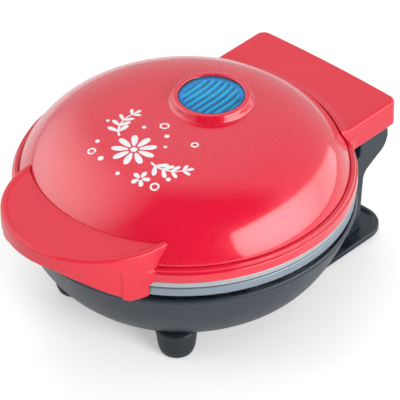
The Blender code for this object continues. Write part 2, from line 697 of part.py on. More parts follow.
def ear_form(carrier, side):
    """Hinge ear that hangs from the block's top beside one arm."""
    outer = ARM_INNER_X - EAR_PLAY
    ends = sorted((side * outer, side * (outer - EAR_THICKNESS)))
    outline = arc((HINGE_Y, HINGE_Z), EAR_RADIUS, 180, 360, EAR_STEPS)
    top = BLOCK_TOP_Z - BLOCK_WALL / 2
    outline += [(HINGE_Y + EAR_RADIUS, top), (HINGE_Y - EAR_RADIUS, top)]
    name = "ear_form_" + SIDE_NAMES[side]
    return add_guide(name, prism(name, outline, ends[0], ends[1], axis="X"), carrier)


def lead_notch(carrier):
    """Passage for the leads from the hinge block into the lid."""
    sides = (LEAD_X - LEAD_NOTCH / 2, LEAD_X + LEAD_NOTCH / 2)
    ends = (LEAD_NOTCH_Z - LEAD_NOTCH / 2, LEAD_NOTCH_Z + LEAD_NOTCH / 2)
    outline = [(sides[0], ends[0]), (sides[1], ends[0]), (sides[1], ends[1]), (sides[0], ends[1])]
    mesh = prism("cut_lead_notch", outline, SPIGOT_INNER - OVERRUN, RIM_RADIUS + OVERRUN, axis="Y")
    return add_guide("cut_lead_notch", mesh, carrier)


def plate_spots():
    """Screw places of a cooking plate."""
    turns = [PLATE_SCREW_TURN + math.tau * step / PLATE_SCREWS for step in range(PLATE_SCREWS)]
    return [(PLATE_SCREW_RING * math.cos(turn), PLATE_SCREW_RING * math.sin(turn)) for turn in turns]


def drill(target, spots, radius, low, high, carrier):
    """Cut upright holes through a piece."""
    for number, (x, y) in enumerate(spots, 1):
        name = "cut_%s_%d_%d" % (target.name, len(target.modifiers), number)
        combine(target, add_guide(name, post(name, x, y, radius, low, high), carrier), "DIFFERENCE")


def counterbore(target, spots, low, seat, high, carrier):
    """Cut screw holes that are wider for the head below their seat."""
    bore = SCREW_RADIUS + GAP
    head = SCREW_HEAD_RADIUS + GAP
    outline = [(0, high), (bore, high), (bore, seat), (head, seat), (head, low), (0, low)]
    for number, (x, y) in enumerate(spots, 1):
        name = "cut_%s_head_%d" % (target.name, number)
        mesh = lathe(name, outline, SMALL_SIDES, Matrix.Translation((x, y, 0)))
        combine(target, add_guide(name, mesh, carrier), "DIFFERENCE")


def make_plate(name, face, rim, opens, carrier):
    """Cooking plate with a pocket full of pegs and screw standoffs; opens is +1 when it faces up."""
    back = POCKET_DEPTH + PLATE_THICKNESS
    wall = POCKET_RADIUS + PLATE_THICKNESS
    depths = [(0, back), (wall, back), (wall, rim), (PLATE_RADIUS, rim), (PLATE_RADIUS, 0),
              (POCKET_RADIUS, 0), (POCKET_RADIUS - POCKET_DRAFT, POCKET_DEPTH), (0, POCKET_DEPTH)]
    outline = [(radius, face - opens * depth) for radius, depth in depths]
    plate = add_piece(name, lathe(name, outline, ROUND_SIDES), carrier, "grey_coating")
    floor = face - opens * POCKET_DEPTH
    pegs = add_guide(name + "_pegs", peg_field(name + "_pegs", floor, opens), carrier)
    combine(plate, pegs, "UNION")
    root = floor - opens * PLATE_THICKNESS / 2
    tip = face - opens * (back + 2 * TUBE_RADIUS + GAP)
    for number, (x, y) in enumerate(plate_spots(), 1):
        form = "%s_standoff_%d" % (name, number)
        mesh = post(form, x, y, STANDOFF_RADIUS, min(root, tip), max(root, tip))
        combine(plate, add_guide(form, mesh, carrier), "UNION")
    ends = sorted((tip - opens * OVERRUN, face - opens * (back + GAP)))
    drill(plate, plate_spots(), SCREW_RADIUS + GAP, ends[0], ends[1], carrier)


def peg_field(name, floor, opens):
    """Square pegs on a grid, those that fit the round pocket."""
    bm = bmesh.new()
    root = floor - opens * PLATE_THICKNESS / 2
    tip = floor + opens * PEG_HEIGHT
    limit = POCKET_RADIUS - POCKET_DRAFT - PEG_MARGIN + PEG_BASE / 2
    middle = (PEG_ROWS - 1) / 2
    for row in range(PEG_ROWS):
        for column in range(PEG_ROWS):
            x = (column - middle) * PEG_PITCH
            y = (row - middle) * PEG_PITCH
            if math.hypot(abs(x) + PEG_BASE / 2, abs(y) + PEG_BASE / 2) > limit:
                continue
            rings = []
            for half, height in ((PEG_BASE / 2, root), (PEG_TIP / 2, tip)):
                corners = ((-half, -half), (half, -half), (half, half), (-half, half))
                rings.append([bm.verts.new((x + dx, y + dy, height)) for dx, dy in corners])
            for ring in rings:
                bm.faces.new(ring)
            for step in range(PEG_SIDES):
                after = (step + 1) % PEG_SIDES
                bm.faces.new((rings[0][step], rings[0][after], rings[1][after], rings[1][step]))
    return mesh_from(name, bm)


def make_heater(name, height, carrier):
    """Open ring of sheathed heating tube with its two ends turned inwards."""
    points = []
    start = math.pi / 2 + HEATER_OPEN / 2
    sweep = math.tau - HEATER_OPEN
    for step in range(HEATER_STEPS + 1):
        turn = start + sweep * step / HEATER_STEPS
        points.append(Vector((HEATER_RADIUS * math.cos(turn), HEATER_RADIUS * math.sin(turn), height)))
    for end, place in ((points[0], 0), (points[-1], len(points) + 1)):
        inwards = -Vector((end.x, end.y, 0)).normalized()
        points.insert(place, end + inwards * HEATER_TAIL)
    tube(name, points, TUBE_RADIUS, carrier, "steel")


def make_shield(name, pan, back, flange, flange_radius, way, carrier):
    """Sheet pan behind a cooking plate; way is +1 when it arches up from its flange."""
    sheet = SHIELD_SHEET
    outline = [
        (0, pan), (PAN_RADIUS, pan), (SHIELD_WALL, back), (SHIELD_WALL, flange),
        (flange_radius, flange), (flange_radius, flange + way * sheet),
        (SHIELD_WALL + sheet, flange + way * sheet), (SHIELD_WALL + sheet, back + way * sheet),
        (PAN_RADIUS + sheet, pan + way * sheet), (0, pan + way * sheet)]
    return add_piece(name, lathe(name, outline, INNER_SIDES), carrier, "bright_sheet")


def drill_shield(shield, pan, carrier):
    """Holes for the plate screws."""
    drill(shield, plate_spots(), SCREW_RADIUS + GAP, pan - OVERRUN, pan + OVERRUN, carrier)


def add_tabs(shield, flange_radius, carrier):
    """Bright tabs on the lower shield's flange that carry the plate's rim."""
    outer = flange_radius * math.cos(math.pi / INNER_SIDES) - SHIELD_SHEET
    inner = outer - SHIELD_SHEET
    half = TAB_WIDTH / 2
    for number, turn in enumerate(TAB_ANGLES, 1):
        name = "tab_form_%d" % number
        plan = [(inner, -half), (outer, -half), (outer, half), (inner, half)]
        mesh = prism(name, plan, LEDGE_TOP_Z + GAP + SHIELD_SHEET / 2, LOWER_PLATE_Z - GAP)
        mesh.transform(Matrix.Rotation(turn, 4, "Z"))
        combine(shield, add_guide(name, mesh, carrier), "UNION")


def make_screw(name, x, y, seat, reach, way, carrier):
    """Pan-head screw: head rests on the seat height, shank runs reach along way (+1 up)."""
    head = seat - way * (GAP + SCREW_HEAD_HEIGHT)
    under = seat - way * GAP
    end = seat + way * reach
    outline = [(0, end), (SCREW_RADIUS, end), (SCREW_RADIUS, under), (SCREW_HEAD_RADIUS, under),
               (SCREW_HEAD_RADIUS, head), (0, head)]
    mesh = lathe(name, outline, SMALL_SIDES, Matrix.Translation((x, y, 0)))
    add_piece(name, mesh, carrier, "steel")


def make_plate_screws(base, lid):
    """Long screws from under the base into the lower plate, short ones through the lid's shield."""
    lower_reach = LOWER_BACK_Z - 2 * GAP - COLUMN_SEAT_Z
    upper_seat = UPPER_PAN_Z + SHIELD_SHEET
    upper_reach = upper_seat - UPPER_BACK_Z - 2 * GAP
    for number, (x, y) in enumerate(plate_spots(), 1):
        make_screw("lower_plate_screw_%d" % number, x, y, COLUMN_SEAT_Z, lower_reach, 1, base)
        make_screw("upper_plate_screw_%d" % number, x, y, upper_seat, upper_reach, -1, lid)


def make_base_shell(carrier):
    """Bowl-shaped base with its lip, inner ledge, screw columns and cord outlet boss."""
    inner = reversed(bowl_profile(-BOWL_WALL, BOWL_INNER_STEPS))
    inner = [point for point in inner if point[1] < LEDGE_LOW_Z - GAP]
    wall_at_ledge = (inner[-1][0] + LIP_INNER) / 2
    outline = bowl_profile(0, BOWL_STEPS)
    outline += [(0, BOWL_BOTTOM_Z), (0, BOWL_BOTTOM_Z + BOWL_WALL)] + inner
    outline += [(wall_at_ledge, LEDGE_LOW_Z), (LEDGE_INNER, LEDGE_LOW_Z),
                (LEDGE_INNER, LEDGE_TOP_Z), (LIP_INNER, LEDGE_TOP_Z), (LIP_INNER, LIP_TOP_Z),
                (RIM_RADIUS - LIP_INSET, LIP_TOP_Z)]
    shell = add_piece("base_shell", lathe("base_shell", outline, ROUND_SIDES), carrier, "charcoal")
    inside = bowl_form("bowl_inside", -BOWL_WALL / 2, carrier)
    column_top = LOWER_PAN_Z - SHIELD_SHEET - GAP
    posts = [(side * FOOT_X, FOOT_Y, FOOT_BOSS_RADIUS, FOOT_BOSS_TOP_Z) for side in (-1, 1)]
    posts += [(x, y, COLUMN_RADIUS, column_top) for x, y in plate_spots()]
    for number, (x, y, radius, top) in enumerate(posts, 1):
        name = "shell_post_%d" % number
        form = add_guide(name, post(name, x, y, radius, 0, top), carrier)
        combine(form, inside, "INTERSECT")
        combine(shell, form, "UNION")
    for side in (-1, 1):
        name = "stand_boss_" + SIDE_NAMES[side]
        mesh = post(name, side * STAND_BOSS_X, STAND_BOSS_Y, STAND_BOSS_RADIUS, STAND_TOP_Z + GAP,
                    BOWL_BOTTOM_Z + BOWL_WALL / 2)
        combine(shell, add_guide(name, mesh, carrier), "UNION")
    boss = [(0, GLAND_FACE_Y), (GLAND_BOSS_RADIUS, GLAND_FACE_Y),
            (GLAND_BOSS_RADIUS, GLAND_BOSS_INNER_Y), (0, GLAND_BOSS_INNER_Y)]
    mesh = lathe("gland_boss", boss, SMALL_SIDES * 2, along_y(0, gland_height()))
    combine(shell, add_guide("gland_boss", mesh, carrier), "UNION")
    cut_base_holes(shell, carrier)


def cut_base_holes(shell, carrier):
    """Holes for the screws, the cord outlet and the leads to the lid."""
    bore = SCREW_RADIUS + GAP
    feet = [(side * FOOT_X, FOOT_Y) for side in (-1, 1)]
    stand = [(side * STAND_BOSS_X, STAND_BOSS_Y) for side in (-1, 1)]
    drill(shell, feet, bore, BOWL_BOTTOM_Z - OVERRUN, FOOT_BOSS_TOP_Z + OVERRUN, carrier)
    drill(shell, stand, bore, STAND_TOP_Z - OVERRUN, STAND_TOP_Z + STAND_SCREW_REACH + GAP, carrier)
    counterbore(shell, plate_spots(), STAND_TOP_Z, COLUMN_SEAT_Z,
                LOWER_PAN_Z + OVERRUN, carrier)
    for name, x, height, radius in (("cut_lead_hole", LEAD_X, LEAD_HOLE_Z, LEAD_HOLE_RADIUS),
                                    ("cut_gland", 0, gland_height(), GLAND_NECK + GAP)):
        outline = [(0, RIM_RADIUS + OVERRUN), (radius, RIM_RADIUS + OVERRUN),
                   (radius, GLAND_END_Y - OVERRUN), (0, GLAND_END_Y - OVERRUN)]
        mesh = lathe(name, outline, INNER_SIDES, along_y(x, height))
        combine(shell, add_guide(name, mesh, carrier), "DIFFERENCE")


def arm_outline():
    """Side view of one arm: hinge lobe, leg that leans to the plate, web towards the bowl."""
    lobe = arc((HINGE_Y, HINGE_Z), LOBE_RADIUS, LOBE_START_TURN, -90, LOBE_STEPS)
    low = HINGE_Z - LOBE_RADIUS
    fillet_y = LEG_REAR_TOP_Y + LEG_FILLET
    fillet = arc((fillet_y, low - LEG_FILLET), LEG_FILLET, 90, 180, FILLET_STEPS)
    if abs(fillet_y - HINGE_Y) < GAP:
        fillet = fillet[1:]
    root = STAND_FLOOR_Z - STAND_RIM_HEIGHT / 2
    lean = (LEG_REAR_TOP_Y - LEG_REAR_FOOT_Y) / (low - LEG_FILLET - root)
    leg_front_high = LEG_REAR_FOOT_Y - LEG_WIDTH + lean * (WEB_LOW_Z - LEG_WIDTH - root)
    return lobe + fillet + [
        (LEG_REAR_FOOT_Y, root), (LEG_REAR_FOOT_Y - LEG_WIDTH, root),
        (leg_front_high, WEB_LOW_Z - LEG_WIDTH), (WEB_FRONT_Y, WEB_LOW_Z), (WEB_FRONT_Y, WEB_TOP_Z),
        (HINGE_Y - LOBE_RADIUS - GAP, WEB_TOP_Z)]


def stand_outline(half_width, rear, front, corner):
    """Plan of the stand plate: square front, large round rear corners."""
    right = [(half_width, front)] + arc((half_width - corner, rear - corner), corner, 0, 90, CORNER_STEPS)
    left = [(-x, y) for x, y in reversed(right)]
    return right + left


def make_rear_stand(carrier, bowl):
    """Stand plate with its shallow tray and the two hinge arms."""
    plan = stand_outline(STAND_HALF_WIDTH, STAND_REAR_Y, STAND_FRONT_Y, STAND_CORNER)
    stand = add_piece("rear_stand", prism("rear_stand", plan, STAND_BOTTOM_Z, STAND_TOP_Z), carrier,
                      "charcoal")
    rim = STAND_RIM_WIDTH
    tray = stand_outline(STAND_HALF_WIDTH - rim, STAND_REAR_Y - rim, TRAY_FRONT_Y, STAND_CORNER - rim)
    mesh = prism("cut_tray", tray, STAND_FLOOR_Z, STAND_TOP_Z + OVERRUN)
    combine(stand, add_guide("cut_tray", mesh, carrier), "DIFFERENCE")
    for side in (-1, 1):
        tag = SIDE_NAMES[side]
        ends = sorted((side * ARM_INNER_X, side * ARM_OUTER_X))
        name = "arm_form_" + tag
        mesh = prism(name, arm_outline(), ends[0], ends[1], axis="X")
        arm = add_guide(name, mesh, carrier)
        combine(arm, bowl, "DIFFERENCE")
        combine(stand, arm, "UNION")
        pad = "cut_stand_pad_" + tag
        mesh = post(pad, side * STAND_PAD_X, STAND_PAD_Y, STAND_PAD_RADIUS + GAP,
                    STAND_BOTTOM_Z - OVERRUN, STAND_BOTTOM_Z + STAND_PAD_INSET)
        combine(stand, add_guide(pad, mesh, carrier), "DIFFERENCE")
    counterbore(stand, [(side * STAND_BOSS_X, STAND_BOSS_Y) for side in (-1, 1)],
                STAND_BOTTOM_Z - OVERRUN, STAND_FLOOR_Z, STAND_TOP_Z + OVERRUN, carrier)
    reach = ARM_OUTER_X + OVERRUN
    pin = [(0, reach), (PIN_RADIUS + GAP, reach), (PIN_RADIUS + GAP, -reach), (0, -reach)]
    mesh = lathe("cut_pin", pin, SMALL_SIDES, across_x(HINGE_Y, HINGE_Z))
    combine(stand, add_guide("cut_pin", mesh, carrier), "DIFFERENCE")


def make_stand_fittings(carrier):
    """Rubber pads, screws and hinge pins of the rear stand."""
    for side in (-1, 1):
        tag = SIDE_NAMES[side]
        name = "stand_pad_" + tag
        mesh = post(name, side * STAND_PAD_X, STAND_PAD_Y, STAND_PAD_RADIUS, 0,
                    STAND_BOTTOM_Z + STAND_PAD_INSET - GAP)
        add_piece(name, mesh, carrier, "rubber")
        make_flat_screw("stand_screw_" + tag, side * STAND_BOSS_X, STAND_BOSS_Y, STAND_FLOOR_Z,
                        STAND_RIM_HEIGHT + STAND_SCREW_REACH, carrier)
        outer = ARM_OUTER_X - PIN_SETBACK
        inner = ARM_INNER_X - EAR_PLAY - EAR_THICKNESS - PIN_SETBACK
        pin = [(0, side * outer), (PIN_RADIUS, side * outer), (PIN_RADIUS, side * inner),
               (0, side * inner)]
        name = "hinge_pin_" + tag
        mesh = lathe(name, pin, SMALL_SIDES, across_x(HINGE_Y, HINGE_Z))
        add_piece(name, mesh, carrier, "steel")


def make_flat_screw(name, x, y, seat, reach, carrier):
    """Screw driven upwards whose flat head lies inside the stand plate."""
    head_low = STAND_BOTTOM_Z + GAP / 2
    outline = [(0, seat + reach), (SCREW_RADIUS, seat + reach), (SCREW_RADIUS, seat - GAP),
               (SCREW_HEAD_RADIUS, seat - GAP), (SCREW_HEAD_RADIUS, head_low), (0, head_low)]
    mesh = lathe(name, outline, SMALL_SIDES, Matrix.Translation((x, y, 0)))
    add_piece(name, mesh, carrier, "steel")


def make_feet(carrier, bowl):
    """Front feet with their rubber pads and screws."""
    pad_top = FOOT_BOTTOM_Z + FOOT_PAD_INSET
    recess = FOOT_PAD_RADIUS + GAP
    screw_end = FOOT_BOSS_TOP_Z - FOOT_SCREW_REACH
    for side in (-1, 1):
        tag = SIDE_NAMES[side]
        spot = Matrix.Translation((side * FOOT_X, FOOT_Y, 0))
        bore = SCREW_RADIUS + GAP
        outline = [
            (0, pad_top), (recess, pad_top), (recess, FOOT_BOTTOM_Z),
            (FOOT_BOTTOM_RADIUS, FOOT_BOTTOM_Z), (FOOT_WAIST_RADIUS, FOOT_WAIST_Z),
            (FOOT_TOP_RADIUS, FOOT_TOP_Z - FOOT_LIP), (FOOT_TOP_RADIUS, FOOT_TOP_Z),
            (bore, FOOT_TOP_Z), (bore, screw_end - GAP), (0, screw_end - GAP)]
        name = "foot_" + tag
        foot = add_piece(name, lathe(name, outline, SMALL_SIDES * 2, spot), carrier, "charcoal")
        combine(foot, bowl, "DIFFERENCE")
        name = "foot_pad_" + tag
        mesh = post(name, side * FOOT_X, FOOT_Y, FOOT_PAD_RADIUS, 0, pad_top - GAP)
        add_piece(name, mesh, carrier, "rubber")
        make_screw("foot_screw_" + tag, side * FOOT_X, FOOT_Y, FOOT_BOSS_TOP_Z, FOOT_SCREW_REACH, -1,
                   carrier)


def make_controls(carrier):
    """Thermostat and thermal fuse on the lower plate's back, terminal block on the bowl's floor."""
    top = LOWER_BACK_Z - GAP
    low = LOWER_PAN_Z + GAP
    step = THERMOSTAT_RADIUS - THERMOSTAT_CAP
    outline = [(0, top), (step, top), (step, top - THERMOSTAT_CAP),
               (THERMOSTAT_RADIUS, top - THERMOSTAT_CAP), (THERMOSTAT_RADIUS, low), (0, low)]
    add_piece("thermostat", lathe("thermostat", outline, SMALL_SIDES), carrier, "ceramic")
    half = FUSE_LENGTH / 2
    outline = [(0, half), (FUSE_RADIUS, half), (FUSE_RADIUS, -half), (0, -half)]
    place = Matrix.Translation((FUSE_X, 0, 0)) @ along_y(0, top - FUSE_RADIUS)
    add_piece("thermal_fuse", lathe("thermal_fuse", outline, SMALL_SIDES, place), carrier, "sleeve")
    floor = BOWL_BOTTOM_Z + BOWL_WALL + GAP
    half = TERMINAL_WIDTH / 2
    front = TERMINAL_Y - TERMINAL_DEPTH / 2
    rear = TERMINAL_Y + TERMINAL_DEPTH / 2
    plan = [(-half, front), (half, front), (half, rear), (-half, rear)]
    mesh = prism("terminal_block", plan, floor, floor + TERMINAL_HEIGHT, edge=TERMINAL_EDGE)
    add_piece("terminal_block", mesh, carrier, "ceramic")
    return floor + TERMINAL_HEIGHT


def make_gland(carrier):
    """Grommet in the cord outlet."""
    face = GLAND_FACE_Y + GAP
    flange = GLAND_NECK + GLAND_FLANGE
    outline = [
        (GLAND_BORE, face + GLAND_LIP), (flange - GLAND_LIP / 2, face + GLAND_LIP),
        (flange, face + GLAND_LIP / 2), (flange, face), (GLAND_NECK, face),
        (GLAND_NECK, GLAND_END_Y), (GLAND_BORE, GLAND_END_Y)]
    mesh = lathe("cord_gland", outline, SMALL_SIDES * 2, along_y(0, gland_height()))
    add_piece("cord_gland", mesh, carrier, "rubber")


def make_leads(base, lid, block_top):
    """Sleeved leads: one up to the hinge axis, one on from there to the lamp in the lid."""
    level = block_top + GAP + LEAD_RADIUS
    places = [(TERMINAL_Y, level), (LEAD_LEVEL_Y, level), LEAD_BEND]
    places += [(y, LEAD_HOLE_Z) for y in LEAD_HOLE_ENDS_Y]
    places += [LEAD_SLACK, (HINGE_Y, HINGE_Z - LEAD_END_GAP)]
    knots = [Vector((LEAD_X, y, z)) for y, z in places]
    tube("lower_leads", smooth_run(knots, LEAD_STEPS), LEAD_RADIUS, base, "sleeve")
    over = UPPER_PAN_Z + SHIELD_SHEET + GAP + LEAD_RADIUS
    places = [(HINGE_Y, HINGE_Z + LEAD_END_GAP), LEAD_RISE, (RIM_RADIUS, LEAD_NOTCH_Z),
              (SPIGOT_INNER - OVERRUN, LEAD_NOTCH_Z), LEAD_CLIMB, LEAD_SHOULDER,
              (LEAD_CROWN_Y, over), (LEAD_LEVEL_Y, over), (LENS_Y, over)]
    knots = [Vector((LEAD_X, y, z)) for y, z in places]
    tube("upper_leads", smooth_run(knots, LEAD_STEPS), LEAD_RADIUS, lid, "sleeve")


def build():
    """Make every piece."""
    clear_scene()
    base = bpy.data.objects.new("machine_axis", None)
    lid = bpy.data.objects.new("lid_pivot", None)
    for empty in (base, lid):
        bpy.context.collection.objects.link(empty)
    base.location = (0, AXIS_Y, 0)
    lid.parent = base
    lid.location = PIVOT
    bowl = bowl_form("cut_bowl_space", GAP, base)
    make_base_shell(base)
    make_rear_stand(base, bowl)
    make_stand_fittings(base)
    make_feet(base, bowl)
    make_plate("lower_plate", LOWER_FACE_Z, LOWER_RIM, 1, base)
    make_heater("lower_heating_element", LOWER_BACK_Z - GAP - TUBE_RADIUS, base)
    flange_radius = LIP_INNER - FLANGE_PLAY
    shield = make_shield("lower_heat_shield", LOWER_PAN_Z, LOWER_BACK_Z,
                         LEDGE_TOP_Z + GAP + SHIELD_SHEET, flange_radius, -1, base)
    add_tabs(shield, flange_radius, base)
    drill_shield(shield, LOWER_PAN_Z, base)
    block_top = make_controls(base)
    make_gland(base)
    notch = lead_notch(lid)
    make_lid_frame(lid, notch)
    make_dome_cover(lid, notch)
    make_lamp(lid, make_lens(lid))
    make_plate("upper_plate", UPPER_FACE_Z, UPPER_RIM, -1, lid)
    make_heater("upper_heating_element", UPPER_BACK_Z + GAP + TUBE_RADIUS, lid)
    shield = make_shield("upper_heat_shield", UPPER_PAN_Z, UPPER_BACK_Z, SPIGOT_BOTTOM_Z,
                         SPIGOT_INNER - GAP, 1, lid)
    drill_shield(shield, UPPER_PAN_Z, lid)
    make_plate_screws(base, lid)
    make_leads(base, lid, block_top)


build()
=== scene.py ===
"""Mini waffle maker: the looks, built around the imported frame.

Shapes are worked out in millimetres around the machine's upright round axis, with -Y to the
front handle, and are placed in the frame by mesh_piece.
"""

import math

import bpy
import numpy as np
from mathutils import Matrix, Vector
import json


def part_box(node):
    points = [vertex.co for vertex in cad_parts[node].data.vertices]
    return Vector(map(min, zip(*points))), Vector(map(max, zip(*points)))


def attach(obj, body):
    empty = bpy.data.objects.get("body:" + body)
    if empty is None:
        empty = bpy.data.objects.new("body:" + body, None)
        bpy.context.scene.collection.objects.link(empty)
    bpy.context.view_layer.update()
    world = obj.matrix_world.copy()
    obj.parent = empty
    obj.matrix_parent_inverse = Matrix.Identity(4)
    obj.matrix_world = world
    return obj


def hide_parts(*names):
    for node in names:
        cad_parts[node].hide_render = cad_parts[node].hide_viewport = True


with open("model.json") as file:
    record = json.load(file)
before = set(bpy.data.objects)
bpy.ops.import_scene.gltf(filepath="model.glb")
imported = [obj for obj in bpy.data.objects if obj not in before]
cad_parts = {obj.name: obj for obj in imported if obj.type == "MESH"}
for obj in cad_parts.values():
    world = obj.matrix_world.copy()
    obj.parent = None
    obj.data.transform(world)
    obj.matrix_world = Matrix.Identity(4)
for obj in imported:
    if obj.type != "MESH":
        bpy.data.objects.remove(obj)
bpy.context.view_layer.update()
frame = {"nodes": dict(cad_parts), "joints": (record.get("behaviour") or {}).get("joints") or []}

MM = 0.001


def node_box(node):
    """Lowest and highest corner of a frame node, in millimetres."""
    low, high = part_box(node)
    return Vector(low) / MM, Vector(high) / MM


# Sizes read from the frame
AXIS_Y = sum(corner.y for corner in node_box("upper_plate")) / 2
RIM_RADIUS = node_box("base_shell")[1].x
PLATE_RADIUS = node_box("upper_plate")[1].x
DOME_RADIUS = node_box("dome_cover")[1].x
BOSS_TOP = node_box("dome_cover")[1].z
SPIGOT_LOW = node_box("dome_cover")[0].z
LIP_TOP = node_box("base_shell")[1].z
LOWER_FACE = node_box("lower_plate")[1].z
UPPER_FACE = node_box("upper_plate")[0].z
HANDLE_TOP = node_box("lid_frame")[1].z
HANDLE_FRONT = node_box("lid_frame")[0].y - AXIS_Y
BLOCK_REAR = node_box("lid_frame")[1].y - AXIS_Y
PIVOT = Vector(frame["joints"][0]["pos_m"]) / MM
PIVOT.y -= AXIS_Y
STAND_HALF = node_box("rear_stand")[1].x
STAND_LOW = node_box("rear_stand")[0].z
FOOT_X = sum(corner.x for corner in node_box("foot_right")) / 2
FOOT_Y = sum(corner.y for corner in node_box("foot_right")) / 2 - AXIS_Y

# Fineness
ROUND = 200
SMALL_ROUND = 72
CELL = 0.38
FILLET_STEPS = 5

# Lid ring and dome
RING_LOW = UPPER_FACE + 2.7
RING_HIGH = RING_LOW + 5.3
DOME_EDGE = RING_HIGH - 0.1
DOME_RISE = 21.5
DOME_WALL = 1.8
DOME_FLATNESS = 4.6
DOME_SHOULDER = 0.8
DOME_SEAM = 0.15
SPIGOT_OUTER = DOME_RADIUS - 1
SPIGOT_INNER = SPIGOT_OUTER - 1.6
SEAM_DEPTH = 0.4
RING_SHOULDER = 1.2
SKIN_PLAY = 0.1
FRAME_INNER = 53.4
FRAME_SHELF = RING_LOW + 1.7

CORE_INSET = 1.5
CORE_HALF_WIDTH = 1.4
CORE_RISE = 1.9
CORE_HALF_HEIGHT = 1.7

# Edges of the lid's moulding: how far blends and fillets reach
SOFT_EDGE = 0.8
SOFT_HOLLOW = 2.0
SOFT_SEAM = 0.15
ROOT_FILLET = 2.6
TOP_CLEAR = 1.2

# Indicator lens
LENS_Y = 14.7
LENS_RADIUS = 12.15
BORE_RADIUS = 12.3
BOSS_RADIUS = 14.3
BOSS_SLOPE = 3.4
BOSS_FILLET = 2.6
BORE_EDGE = 0.5
BOSS_SOFT = 1.0
COLLAR_OUTER = BORE_RADIUS + 3.8
COLLAR_INNER = BORE_RADIUS + 1.9
COLLAR_LOW = DOME_EDGE + DOME_RISE - 9.2
COLLAR_SEAT = DOME_EDGE + DOME_RISE - 5.2
RAY_SPLIT = 22.0
LENS_RECESS = 0.35
LENS_CROWN = 0.3
LENS_DEPTH = 0.9
LENS_BORDER = 1.7
RIB_PITCH = 2.65
RIB_HEIGHT = 1.2
RIB_BEND = 0.012
BORDER_LEVEL = 0.5
LADDER_PITCH = 0.55

# Print on the dome: dots and small rings by place from its middle, and radius
PRINT_CENTRE = (0.0, -26.0)
PRINT_LIFT = 0.06
PRINT_DOTS = ((-14, -4.5, 0.9), (-6.5, 12, 0.8), (3.5, 13.5, 1.0), (7.5, 8.5, 0.7), (4, -12.5, 0.8),
              (-6.5, -10.5, 1.1), (20.5, -3.5, 0.9), (-19.5, 6.5, 0.7))
PRINT_LOOPS = ((-1.5, 17.5, 1.5), (-12, -9.5, 1.3), (19.0, -9.0, 1.4), (14.5, 16.5, 1.2))

# Handle
HANDLE_RADIUS = 35.2
HANDLE_Y = HANDLE_FRONT + HANDLE_RADIUS
HANDLE_LOW = RING_LOW - 6.5
HANDLE_WALL = 2.4
HANDLE_BEAD = 2.5
HANDLE_SINK = 0.55
HANDLE_EDGE = 1.3
HANDLE_BACK = 6
BEAD_SLOPE = 0.9
ARCH_HALF = 31.0
ARCH_RISE = 13.0
ARCH_POWER = 2.6
GRIP_HALF = 29.6
GRIP_SINK = 0.6
GRIP_STEP = 0.45
GRIP_END = 0.8
GRIP_LINE = HANDLE_LOW + ARCH_RISE + 0.4

# Hinge block
BLOCK_HALF = 34.4
BLOCK_TOP = RING_LOW + 9.9
BLOCK_LOW = RING_LOW - 0.7
BLOCK_FRONT = BLOCK_REAR - 34.5
BLOCK_CORNER = 3.8
BLOCK_EDGE = 1.6
BLOCK_CROWN = 0.9
BLOCK_WALL = 1.9
SKIN_WALL = 1.3
SKIN_RISE = 1.0
SKIN_LOW = BLOCK_LOW + 5
SKIN_END = 0.5
EAR_MIDDLE = 19.4
EAR_HALF = 2.2
EAR_RADIUS = 5.2
PIN_RADIUS = 2.3

# Cooking plates and their pegs
PLATE_WALL = 52.7
PLATE_DEPTH = 9.5
POCKET_RADIUS = 50.5
POCKET_DEPTH = 7.3
POCKET_DRAFT = 1.5
UPPER_RIM = 2.4
LOWER_RIM = 3.5
PEG_PITCH = 13.0
PEG_COUNT = 7
PEG_REACH = 46
PEG_DEPTH = 3.7
PEG_CORNER = 1.1

# Base
BOWL_RIM = LIP_TOP - 1.1
BOWL_LOW = BOWL_RIM - 29.7
BOWL_FLAT = 34.0
BOWL_WALL = 2.0
LIP_INSET = 0.7
LEDGE_INNER = 55.4
LEDGE_TOP = LIP_TOP - 0.9
LEDGE_LOW = LEDGE_TOP - 1.4
SCREW_RING = 44.3
SCREW_HEAD = 2.2
COLUMN_SEAT = 19.0
OUTLET_Z = BOWL_LOW + 11.7
OUTLET_RADIUS = 4.9
OUTLET_FACE = RIM_RADIUS - 3.1
OUTLET_BOSS = 6.9
OUTLET_PROUD = 3.3
OUTLET_ROOT = 6.6
GLAND_BORE = 3.4
GLAND_NECK = 4.6
GLAND_FLANGE = 6.4
GLAND_LENGTH = 12

# Rear stand
ARM_INNER = 22.0
ARM_OUTER = 29.6
ARM_EDGE = 0.7
ARM_WEB_FRONT = 52
LOBE_RADIUS = 7.9
STAND_REAR = PIVOT.y + 3.7
STAND_FRONT = 22.0
STAND_CORNER = 11.3
STAND_TOP = STAND_LOW + 2.4
STAND_FLOOR = STAND_TOP - 1.0
STAND_RIM = 2.0
LEG_REAR_TOP = PIVOT.y - 5.6
LEG_REAR_FOOT = LEG_REAR_TOP - 2.5
LEG_WIDTH = 5.4

# Light: levels of the surroundings, and round patches that only reflections see, each with its
# azimuth, elevation, inner and outer reach in degrees, and strength
SKY_LEVEL = 0.55
FLOOR_LIFT = 0.33
GLOSS_LEVEL = 0.62
GLOSS_DARK = ((15, 70, 24, 48, 0.97), (42, 15, 36, 48, 0.97), (105, 62, 12, 28, 0.9))
WINDOW_REACH = (131, 15, 50, 53)
WINDOW_LIMIT = (100, -47, 87, 92)
WINDOW_LEVEL = 2.3
WINDOW_HEART = (108, 30, 5, 42, 2.2)
SIDE_PATCH = (-68, 24, 8, 56, 2.2)

